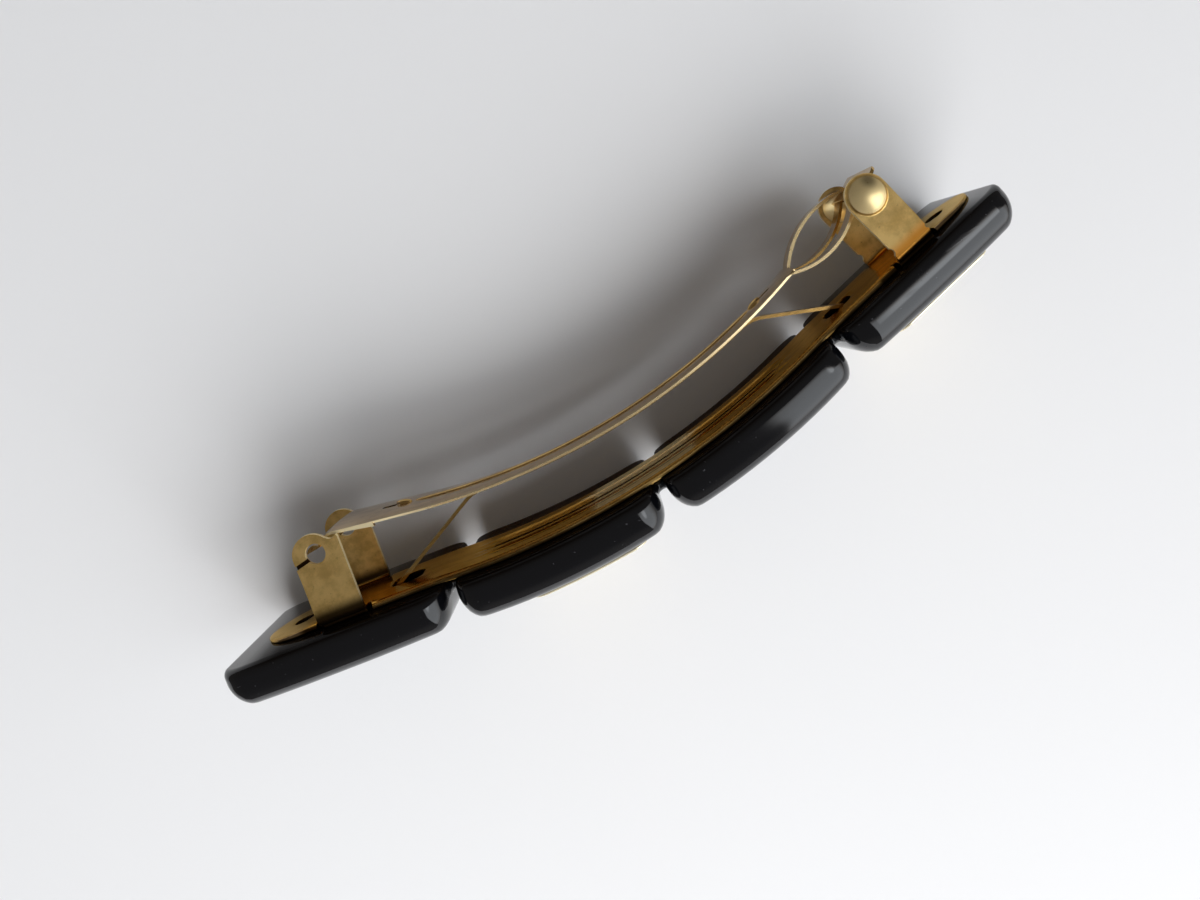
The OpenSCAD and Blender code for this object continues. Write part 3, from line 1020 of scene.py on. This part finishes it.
def dome(sizes, sign):
    """Pressed cap on the outside of a clasp ear, with the soft crease at its foot."""
    outer = sized(sizes, "ear_half")
    x, y = clasp_side(CLASP_HEAD.x), CLASP_HEAD.y
    rings = [(DOME_R + 0.14, -0.25), (DOME_R + 0.14, -0.02), (DOME_R + 0.04, 0.03)]
    reach = math.asin(DOME_R / DOME_BALL)
    for i in range(1, DOME_STEPS):
        a = reach * (1 - i / DOME_STEPS)
        rings.append((DOME_BALL * math.sin(a), DOME_BALL * math.cos(a) - DOME_BALL + DOME_H))
    rings.append((0.02, DOME_H))
    clear_selection()
    z = CLIP_Z + sign * outer
    bpy.ops.mesh.primitive_circle_add(
        vertices=56, radius=rings[0][0], fill_type="NGON", location=(x, y, z + sign * rings[0][1]))
    obj = bpy.context.object
    obj.name = "dome"
    bpy.ops.object.transform_apply(location=True, rotation=True, scale=True)
    edit_all(obj)
    for last, now in zip(rings, rings[1:]):
        step = (0, 0, sign * (now[1] - last[1]))
        bpy.ops.mesh.extrude_region_move(TRANSFORM_OT_translate={"value": step})
        ratio = now[0] / last[0]
        bpy.ops.transform.resize(value=(ratio, ratio, 1), center_override=(x, y, z + sign * now[1]))
    bpy.ops.object.mode_set(mode="OBJECT")
    outward(obj)
    return obj


def dimple(sizes, sign):
    """Hollow behind a dome, on the inside of the ear."""
    x, y = clasp_side(CLASP_HEAD.x), CLASP_HEAD.y
    z = CLIP_Z + sign * (sized(sizes, "ear_half") + DOME_H - DOME_BALL)
    clear_selection()
    bpy.ops.mesh.primitive_uv_sphere_add(
        segments=48, ring_count=32, radius=DOME_BALL - sized(sizes, "sheet"), location=(x, y, z))
    obj = bpy.context.object
    bpy.ops.object.transform_apply(location=True, rotation=True, scale=True)
    return obj


def clasp_ears(sizes):
    """Ears with a round head, each with a dome that holds the tip of the arm."""
    s0, s1 = CLASP_EAR
    r = (s1 - s0) / 2
    points = [(s0, 0.0), *arc(s0 - 0.1, 1.9, 0.5, -60, 60, 6)]
    points += arc(CLASP_HEAD.x, CLASP_HEAD.y, r, 180, 0, 28)
    points += [(s1, 3.0), *arc(s1 + 0.1, 1.5, 0.3, 120, 240, 4), (s1, 0.0)]
    ears = ear_channel(s0 - 0.1, s1 + 0.1, clasp_side, sizes)
    trim(ears, ear_outline("clasp ear outline", clasp_side, points))
    for sign in (-1, 1):
        weld(ears, dome(sizes, sign))
    for sign in (-1, 1):
        cut(ears, dimple(sizes, sign))
    return ears


def press_lines(obj):
    """Presses the beads and the groove, and paints shade into sunk places and onto the floors of the
    slits.
    """
    sunk_shade = obj.data.attributes.new("groove", "FLOAT", "POINT")
    for vertex in obj.data.vertices:
        x, y, z = vertex.co
        across_line = abs(z - CLIP_Z)
        # Painted shade on the floors of the slits
        if x < 0 and y > 5 and SLIT_FLOOR - 0.03 < across_line < SLIT_FLOOR + 0.1:
            sunk_shade.data[vertex.index].value = 1.0
        if abs(x) > LINES_END or across_line > LINES_REACH or y < LINES_FLOOR:
            continue
        run_out = min((LINES_END - abs(x)) / LINES_RUN_OUT, 1.0)
        strength = run_out * run_out * (3 - 2 * run_out)
        rise = BEAD_HEIGHT * bump_shape((across_line - BEAD_Z) / LINE_HALF)
        rise -= GROOVE_DEPTH * bump_shape(across_line / LINE_HALF)
        vertex.co.y += rise * strength
        # Painted shade in the groove and beside the beads
        beside = 0.8 * bump_shape((across_line - BEAD_SHADE_Z) / BEAD_SHADE_HALF)
        sunk_shade.data[vertex.index].value = strength * max(share(across_line, *GROOVE_SHADE), beside)


def base_cutters():
    """Holes in the tabs, slots for the feet of the bar and freeing cuts."""
    cutters = []

    def drill(x, z, r):
        cutters.append(cylinder("drill", r, (x, -1, z), (x, 3, z), 40))

    for side, length, ear, slot in (
        (hinge_side, BASE_HINGE, HINGE_EAR, HINGE_SLOT), (clasp_side, BASE_CLASP, CLASP_EAR, CLASP_SLOT),
    ):
        drill(side(length - TAB_HOLE), CLIP_Z, TAB_HOLE_R)
        middle = side((slot[0] + slot[1]) / 2 - SLOT_EXTRA / 2)
        shape = rounded_rectangle(middle, CLIP_Z, slot[1] - slot[0] + SLOT_EXTRA, SLOT_WIDTH, 1.0)
        cutters.append(plan_prism("foot slot", shape, -1, 3))
        for s, reach in zip((ear[1] + FREEING_GAP, ear[0] - FREEING_GAP), FREEING_Z):
            for sign in (-1, 1):
                shape = rounded_rectangle(side(s), CLIP_Z + sign * reach, *FREEING_CUT)
                cutters.append(plan_prism("freeing cut", shape, -1, 3))
    return cutters


class BARRETTE_OT_base(Operator):
    """Stamps the base plate with its tabs, ears and domes"""

    bl_idname = "barrette.base"
    bl_label = "Base plate"

    def ears(self, f):
        """Shares of satin ears, domes painted paler as a highlight, painted amber reflection, painted
        shade with a dark smudge, cut edges painted pale as a highlight and tabs with a painted reflection
        of shaded paper.

        The painted shade lies at the foot of the ears and along the low edge of the sheet beside
        them, and a dark smudge lies on the near dome. The painted amber reflection is low on the
        near clasp ear."""
        satin = f.from_middle("Z", CLIP_Z * MM).ramp(4.64 * MM, 4.72 * MM)
        x, y = bow_place(clasp_side(CLASP_HEAD.x), CLASP_HEAD.y)
        spots = [(Vector((x, y, CLIP_Z + sign * 5.6)) + BOW_ORIGIN) * MM for sign in (-1, 1)]
        domes = f.near(spots[0], 1.9 * MM, 2.1 * MM) + f.near(spots[1], 1.9 * MM, 2.1 * MM)
        along_clip = f.from_middle("X", BOW_ORIGIN.x * MM)
        upward = f.axis("Y") - BOW_ORIGIN.y * MM
        lift = (upward - BOW_Y * MM) * math.cos(END_SLOPE)
        height = lift - (along_clip - BOW_X * MM) * math.sin(END_SLOPE)
        clasp = f.axis("X").ramp(0.0, 1 * MM)
        # Painted shade along the low edges beside the tabs and at the foot of the ears
        inner = along_clip.ramp(31.0 * MM, 31.6 * MM) * height.ramp(0.68 * MM, 0.42 * MM)
        ends = inner * along_clip.ramp(39.0 * MM, 38.0 * MM)
        foot = height.ramp(2.5 * MM, 1.2 * MM) * (1 - clasp) + height.ramp(1.3 * MM, 0.8 * MM) * clasp
        shade_and_smudge = foot * satin
        shade_and_smudge = shade_and_smudge + ends * (1 - shade_and_smudge)
        # Painted amber reflection low on the camera's side of the clasp ear
        camera_side = f.axis("Z").ramp((CLIP_Z + 4.7) * MM, (CLIP_Z + 4.95) * MM)
        amber_reflection = height.ramp(2.7 * MM, 1.4 * MM) * clasp * camera_side * 0.95
        # Dark smudge high on the near dome
        high = (Vector((x + 0.8, y + 1.27, CLIP_Z + 5.6)) + BOW_ORIGIN) * MM
        shade_and_smudge = shade_and_smudge + f.near(high, 0.2 * MM, 1.2 * MM) * domes * 0.6
        # Painted highlight on the cut edges of the ears
        edge_highlight = f.steepness().ramp(0.5, 0.3) * height.ramp(1.25 * MM, 1.45 * MM)
        # Painted reflection of shaded paper on the tabs
        tab_reflection = along_clip.ramp(36.6 * MM, 39.2 * MM) * height.ramp(0.95 * MM, 0.8 * MM) * 0.85
        return satin * (1 - domes * 0.8), domes, amber_reflection, shade_and_smudge * 0.97, edge_highlight * (1 - domes) * 0.8, tab_reflection

    def execute(self, context):
        sizes = context.scene.barrette_clip
        obj = base_sheet(sized(sizes, "base_half"))
        for cutter in base_cutters():
            cut(obj, cutter)
        weld(obj, hinge_ears(sizes))
        weld(obj, clasp_ears(sizes))
        soften(obj, SHEET_EDGE, 2, 40)
        press_lines(obj)
        obj.name = "base_sheet"
        bend(obj)
        material = brass("stamped brass", sizes.base_colour, 0.0, self.ears, EAR_REFLECTION)
        finish(obj, "clip_base", ["base_plate"], material, 38)
        return {"FINISHED"}


# Arm, in the frame of the bow itself

ARM_T = 0.5
ARM_R = 75.0
ARM_CENTRE = Vector((1.5, 81.8))
# From its hinge the arm turns at a knee, and is straight from there to where its arc starts
ARM_BEND_X = -22.0
KNEE_X = -30.6
KNEE_R = 0.9
# Start and end of the taper
ARM_TAPER = (-27.5, -6.0)
ARM_CORNER = 0.5
# Share of the sheet's box that the arch across it takes up
ARCH = 0.48
# Flanges next to the hinge: depth at the hinge and at their end, on the far and near side
FLANGE_END = -25.8
FLANGE_DEPTHS = {-1: (1.0, 1.0), 1: (0.16, 0.58)}
FLANGE_T = 0.5
# Middle of each lance mark, and the way its open end faces. The sizes are half length,
# height and half width of a mark, and length, width and corner of its slot.
LANCE_MARKS = ((-23.9, -1), (19.9, 1))
LANCE_SIZE = (1.05, 0.42, 0.5)
LANCE_SLOT = (1.7, 0.9, 0.3)
LANCE_SLOT_SHIFT = 1.3
# Rib with its half width and its height over the sheet
RIB_ENDS = (-22.6, 18.9)
RIB_RUN_OUT = 2.2
RIB_HALF = 0.55
RIB_HEIGHT = 0.24
RIB_ROOT = 0.2
# Pin that turns in the bore, with one flat and a small eye in its end
LUG_R = 0.86
LUG_FLAT = 0.34
LUG_FLAT_TURN = math.radians(-1.4)
LUG_EYE = (PIVOT.x - 0.02, PIVOT.y + 0.6)
LUG_EYE_R = 0.12
# Fork: a tongue that bows up between two rails that sag
FORK_X = 24.5
FORK_STEP = 0.6
TONGUE_ARC = ((32.8, 5.2), 9.82)
TONGUE_END = 35.4
TONGUE_T = 0.34
TONGUE_HALF = 0.95
RAIL_ARC = ((27.2, 18.35), 8.33)
RAIL_END = 34.35
RAIL_T = 0.32
RAIL_INNER = 1.3
TIP = [(34.1, 13.85), (35.9, 14.5), (37.2, 15.38)]
TIP_BEND = 1.2
TIP_T = 0.4
TIP_PLAN = (35.0, CLIP_Z, 4.9, 8.8, 1.1)


def below(centre, r, x):
    """Lower point of a circle at place x."""
    return x, centre[1] - math.sqrt(r * r - (x - centre[0]) ** 2)


def above(centre, r, x):
    """Upper point of a circle at place x."""
    return x, centre[1] + math.sqrt(r * r - (x - centre[0]) ** 2)


def arm_line():
    """Middle line of the arm from its hinge to the root of the fork."""
    mid = ARM_R - ARM_T / 2
    joint = below(ARM_CENTRE, mid, ARM_BEND_X)
    slope = (joint[0] - ARM_CENTRE.x) / (ARM_CENTRE.y - joint[1])
    knee = (KNEE_X, joint[1] + slope * (KNEE_X - ARM_BEND_X))
    hinge = (PIVOT.x - 0.7, PIVOT.y + 0.55)
    line = rounded_line([hinge, knee, joint], KNEE_R)[:-1]
    straight = spread(line[-1][0], ARM_BEND_X, 0.7)[1:-1]
    line += [(x, joint[1] + slope * (x - ARM_BEND_X)) for x in straight]
    return line + [below(ARM_CENTRE, mid, x) for x in spread(ARM_BEND_X, FORK_X + 0.3, 1.3)]


def arm_half(x, sizes):
    """Half width of the arm at place x, with rounded corners at the hinge."""
    wide = sized(sizes, "arm_half_hinge")
    slim = sized(sizes, "arm_half_mid")
    passed = share(x, *ARM_TAPER)
    taper = passed * passed * (3 - 2 * passed)
    return wide + (slim - wide) * taper - inset(ARM_CORNER, x - (PIVOT.x - 0.75))


def arm_top(line):
    """Upper surface of the arm over the points of its middle line."""
    out = []
    for i, (x, y) in enumerate(line):
        before, after = line[max(i - 1, 0)], line[min(i + 1, len(line) - 1)]
        slope = (after[1] - before[1]) / (after[0] - before[0])
        out.append((x, y + ARM_T / 2 * math.hypot(1, slope)))
    return out


def arm_sheet(sizes):
    """Thin sheet, arched across its width, so that its edges lie lower than its middle."""
    steps = [i / 16 for i in range(17)]
    arch = [ARCH - ARCH * abs(2 * v - 1) ** 2.4 for v in steps]
    section = [(u + (1 - ARCH), v) for u, v in zip(arch, steps)]
    section += [(u, 0.5 + (v - 0.5) * 0.975) for u, v in zip(reversed(arch), reversed(steps))]
    stations = []
    for x, top in arm_top(arm_line()):
        half = arm_half(x, sizes)
        stations.append((x, top - ARM_T, top, CLIP_Z - half, CLIP_Z + half))
    return loft("arm", section, stations)


def side_flange(sign, sizes):
    """Sheet turned down along the edge of the arm next to the hinge. It is a wedge on the
    camera's side and of even depth on the other."""
    edge = [(x, y - ARM_T / 2 - 0.02) for x, y in arm_top(arm_line()) if x < FLANGE_END]
    start = edge[0][0]
    root, tail = FLANGE_DEPTHS[sign]
    lower = []
    for x, y in edge:
        way = (x - start) / (FLANGE_END - start)
        lower.append((x, y - root - (tail - root) * way**1.5))
    outer = arm_half(FLANGE_END, sizes) + 0.02
    return plate("flange", edge + lower[::-1], *depths(sign, outer - FLANGE_T, outer))


def lance_mark(x, way):
    """Raised tongue that the press cut free in the middle of the arm."""
    spot = Vector(below(ARM_CENTRE, ARM_R - ARM_T, x))
    slope = math.atan2(x - ARM_CENTRE.x, ARM_CENTRE.y - spot.y)
    clear_selection()
    bpy.ops.mesh.primitive_uv_sphere_add(segments=24, ring_count=16, radius=1.0)
    obj = bpy.context.object
    obj.name = "lance mark"
    edit_all(obj)
    bpy.ops.mesh.bisect(
        plane_co=(0.55 * way, 0, 0), plane_no=(way, 0, 0.35), clear_outer=True, use_fill=True)
    bpy.ops.object.mode_set(mode="OBJECT")
    place = Matrix.Translation((spot.x, spot.y - 0.02, CLIP_Z)) @ Matrix.Rotation(slope, 4, "Z")
    return move_mesh(obj, place @ Matrix.Diagonal((*LANCE_SIZE, 1)))


def lance_slot(x):
    """Opening in front of a lance mark, cut right through the sheet."""
    spot = Vector(below(ARM_CENTRE, ARM_R - ARM_T, x))
    shape = rounded_rectangle(x, CLIP_Z, *LANCE_SLOT)
    return plan_prism("lance slot", shape, spot.y - 0.3, spot.y + 1)


def across(name, line, thickness, half, middle=CLIP_Z):
    """Sheet along a line, with its width across the clip."""
    return plate(name, ribbon(line, thickness), middle - half, middle + half)


def lug(sign, sizes):
    """End of the folded sheet that turns in the ear: a round pin with one flat."""
    reach = sized(sizes, "ear_half") - 0.06
    inside = sized(sizes, "arm_half_hinge") - 1.4
    z = depths(sign, inside, reach)
    pin = cylinder("lug", LUG_R, (PIVOT.x, PIVOT.y, z[0]), (PIVOT.x, PIVOT.y, z[1]), 48)
    flat = box("flat", (-3, -3, z[0] - 1), (3, LUG_FLAT, z[1] + 1))
    move_mesh(flat, Matrix.Translation((PIVOT.x, PIVOT.y, 0)) @ Matrix.Rotation(LUG_FLAT_TURN, 4, "Z"))
    cut(pin, flat)
    eye_ends = [(*LUG_EYE, CLIP_Z + sign * (reach + depth)) for depth in (-0.5, 1)]
    cut(pin, cylinder("eye", LUG_EYE_R, *eye_ends, 20))
    return pin


class BARRETTE_OT_arm(Operator):
    """Makes the sprung arm with its lugs, rib, tongue, rails and finger tip"""

    bl_idname = "barrette.arm"
    bl_label = "Arm"

    def execute(self, context):
        sizes = context.scene.barrette_clip
        slim = sized(sizes, "arm_half_mid")
        obj = arm_sheet(sizes)
        for x, way in LANCE_MARKS:
            cut(obj, lance_slot(x + way * LANCE_SLOT_SHIFT))
        tongue = [above(*TONGUE_ARC, x) for x in spread(FORK_X + 0.1, TONGUE_END, FORK_STEP)]
        weld(obj, across("tongue", tongue, TONGUE_T, TONGUE_HALF))
        rail = [below(*RAIL_ARC, x) for x in spread(FORK_X - 0.2, RAIL_END, FORK_STEP)]
        for sign in (-1, 1):
            middle = CLIP_Z + sign * (slim + RAIL_INNER) / 2
            weld(obj, across("rail", rail, RAIL_T, (slim - RAIL_INNER) / 2, middle))
            weld(obj, side_flange(sign, sizes))
        tip = across("tip", rounded_line(TIP, TIP_BEND), TIP_T, TIP_PLAN[3] / 2)
        trim(tip, plan_prism("tip plan", rounded_rectangle(*TIP_PLAN), 5, 30))
        weld(obj, tip)
        soften(obj, SHEET_EDGE, 2, 40)
        marks = [lance_mark(x, way) for x, way in LANCE_MARKS]
        obj = gather("arm_sheet", [obj, self.rib(), lug(-1, sizes), lug(1, sizes), *marks])
        self.paint_slot_shade(obj)
        material = brass("rolled brass", sizes.colour, 0.6, self.edge_highlights)
        finish(obj, "arm", ["arm"], material, 38)
        return {"FINISHED"}

    def paint_slot_shade(self, obj):
        """Paints shade on the lower rims of the lance slots."""
        sunk_shade = obj.data.attributes.new("groove", "FLOAT", "POINT")
        for vertex in obj.data.vertices:
            x, y, z = vertex.co
            depth = math.hypot(x - ARM_CENTRE.x, y - ARM_CENTRE.y) - (ARM_R - ARM_T)
            for middle, way in LANCE_MARKS:
                along = abs(x - middle - way * LANCE_SLOT_SHIFT)
                if along < 0.88 and abs(z - CLIP_Z) < 0.46 and 0.12 < depth < 0.4:
                    sunk_shade.data[vertex.index].value = 1.0

    def edge_highlights(self, f):
        """Painted highlight on the sheared edges of the arm on the camera's side, brighter next to the
        hinge, without its rib, its lugs and the worn tip."""
        side = f.from_middle("Z", CLIP_Z * MM)
        edge_highlight = f.steepness().ramp(0.6, 0.8) * side.ramp(0.75 * MM, 0.85 * MM)
        edge_highlight = edge_highlight * side.ramp(4.62 * MM, 4.54 * MM)
        along = f.axis("X")
        edge_highlight = edge_highlight * f.axis("Z").ramp(CLIP_Z * MM, (CLIP_Z + 0.5) * MM)
        edge_highlight = edge_highlight * along.ramp(35.2 * MM, 34.4 * MM) * (0.48 + along.ramp(-18 * MM, -25 * MM) * 0.5)
        return 0.0, 0.0, 0.0, 0.0, edge_highlight, 0.0

    def rib(self):
        """Pressed rib on the head side, with run-out ends."""
        stations = []
        start, end = RIB_ENDS
        steps = quarter_steps(RIB_RUN_OUT)[1:]
        places = [start + d for d in steps] + spread(start + 3, end - 3, 1.3)
        places += [end - d for d in reversed(steps)]
        for x in places:
            size = max(1 - inset(1.0, min(x - start, end - x) / RIB_RUN_OUT), 0.08)
            top = below(ARM_CENTRE, ARM_R - ARM_T, x)[1]
            half = RIB_HALF * size
            stations.append((x, top - RIB_ROOT, top + RIB_HEIGHT * size, CLIP_Z - half, CLIP_Z + half))
        section = [(0, 0.08), (0.45, 0.0)]
        section += [(0.45 + 0.55 * math.sin(a), 0.5 - 0.5 * math.cos(a)) for a in
                    (math.radians(d) for d in range(12, 180, 12))]
        section += [(0.45, 1.0), (0, 0.92)]
        return loft("rib", section, stations)


# Tension bar

BAR_FEET = ((-29.1, 4.52), (28.0, 4.28))
BAR_BENDS = (-16.6, 18.4)
BAR_BEND_R = 4.0
BAR_T = 0.38
# Radius of its middle line, so that its top touches the underside of the arm
BAR_R = ARM_R + 0.18


class BARRETTE_OT_bar(Operator):
    """Makes the tension bar, bowed up to the arm"""

    bl_idname = "barrette.bar"
    bl_label = "Tension bar"

    def execute(self, context):
        sizes = context.scene.barrette_clip
        bends = [below(ARM_CENTRE, BAR_R, x) for x in BAR_BENDS]
        arch = [below(ARM_CENTRE, BAR_R, x) for x in spread(BAR_BENDS[0] + 1.2, BAR_BENDS[1] - 1.2, 1.5)]
        line = rounded_line([BAR_FEET[0], bends[0], arch[0]], BAR_BEND_R)[:-1]
        line += arch
        line += rounded_line([arch[-1], bends[1], BAR_FEET[1]], BAR_BEND_R)[1:]
        obj = across("bar_strip", line, BAR_T, sized(sizes, "bar_half"))
        soften(obj, 0.08, 3, 40)
        material = brass("sprung brass", sizes.colour, 0.3)
        finish(obj, "clip_base", ["tension_bar"], material, 38)
        return {"FINISHED"}


# Stage

CAMERA_PLACE = (0.00614, 0.01351)
CAMERA_TURN = math.radians(-32.4)
CAMERA_SHIFT = -0.125
FILL_PLACE = (-0.06, -0.33, 0.25)
FILL_SIZE = 0.36
FILL_WATTS = 1.8
# Directions in the room: the window, its bright pane, a pale wall and the clear side
WINDOW_WAY = (0.40, -0.62, 0.675)
PANE_WAY = (0.40, -0.19, 0.897)
WALL_WAY = (-0.20, -0.965, 0.17)
CLEAR_WAY = (0.977, 0.209, -0.037)


def soft_room():
    """Dim warm room with one large soft window, a brighter pane in it and a pale wall. The
    window lights one side only, as if a dark flag hung over the other."""
    world = bpy.data.worlds.new("soft room")
    world.use_nodes = True
    room = Nodes(world.node_tree)
    way = room.add("ShaderNodeTexCoord").outputs["Generated"]
    clear = room.along(way, CLEAR_WAY).ramp(0.0, 0.02)
    front = room.along(way, (0, -1, 0)).ramp(0.13, 0.21)
    window = room.along(way, WINDOW_WAY).ramp(0.55, 0.93) * clear * front
    pane = room.along(way, PANE_WAY).ramp(0.984, 0.997) * clear * front
    wall = room.along(way, WALL_WAY).ramp(0.80, 0.99)
    background = room.nodes["Background"]
    room.feed(background.inputs["Strength"], 0.15 + window * 2.7 + pane * 2.6 + wall * 0.12)
    room.feed(background.inputs["Color"], room.mix(window, (1.0, 0.94, 0.88), (0.92, 0.96, 1.0)))
    return world


class BARRETTE_OT_stage(Operator):
    """Lays the paper, lights it and sets the camera over the clip"""

    bl_idname = "barrette.stage"
    bl_label = "Stage"

    def execute(self, context):
        scene = context.scene
        settings = scene.barrette_stage
        clear_selection()
        bpy.ops.mesh.primitive_plane_add(size=3.0, location=(0, 0, 0))
        floor = bpy.context.object
        floor.name = "paper_floor"
        floor.data.materials.append(paper(settings.floor_colour))
        scene.view_settings.view_transform = "Standard"
        scene.world = soft_room()
        clear_selection()
        bpy.ops.object.light_add(type="AREA", location=FILL_PLACE)
        fill = bpy.context.object
        fill.name = "fill"
        fill.data.size = FILL_SIZE
        fill.data.energy = FILL_WATTS
        fill.rotation_euler = (Vector((0, 0, 0)) - fill.location).to_track_quat("-Z", "Y").to_euler()
        fill.visible_glossy = False
        clear_selection()
        place = (*CAMERA_PLACE, settings.camera_height)
        bpy.ops.object.camera_add(location=place, rotation=(0, 0, CAMERA_TURN))
        camera = bpy.context.object
        camera.name = "photo_camera"
        camera.data.sensor_width = 36
        camera.data.lens = settings.lens
        camera.data.shift_y = CAMERA_SHIFT
        camera.data.clip_start = 0.001
        scene.camera = camera
        return {"FINISHED"}


class BARRETTE_PT_tools(Panel):
    """Sizes, colours and the steps that make the barrette"""

    bl_label = "Hair Barrette"
    bl_idname = "BARRETTE_PT_tools"
    bl_space_type = "VIEW_3D"
    bl_region_type = "UI"
    bl_category = "Barrette"

    def draw(self, context):
        scene = context.scene
        for step, group in (
            ("barrette.stage", scene.barrette_stage), ("barrette.strip", scene.barrette_strip),
            ("barrette.panels", scene.barrette_panel), ("barrette.base", scene.barrette_clip),
            ("barrette.arm", None), ("barrette.bar", None),
        ):
            box_layout = self.layout.box()
            box_layout.operator(step)
            if group:
                for name in group.__annotations__:
                    box_layout.prop(group, name)


GROUPS = {
    "barrette_strip": StripSizes,
    "barrette_panel": PanelSizes,
    "barrette_clip": ClipSizes,
    "barrette_stage": StageSettings,
}
STEPS = (
    BARRETTE_OT_stage, BARRETTE_OT_strip, BARRETTE_OT_panels, BARRETTE_OT_base, BARRETTE_OT_arm,
    BARRETTE_OT_bar,
)


def register():
    for cls in (*GROUPS.values(), *STEPS, BARRETTE_PT_tools):
        bpy.utils.register_class(cls)
    for name, cls in GROUPS.items():
        setattr(bpy.types.Scene, name, PointerProperty(type=cls))


def unregister():
    for name in GROUPS:
        delattr(bpy.types.Scene, name)
    for cls in reversed((*GROUPS.values(), *STEPS, BARRETTE_PT_tools)):
        bpy.utils.unregister_class(cls)


def main():
    register()
    bpy.ops.barrette.stage()
    bpy.ops.barrette.strip()
    bpy.ops.barrette.panels()
    bpy.ops.barrette.base()
    bpy.ops.barrette.arm()
    bpy.ops.barrette.bar()
    clear_selection()


if __name__ == "__main__":
    main()
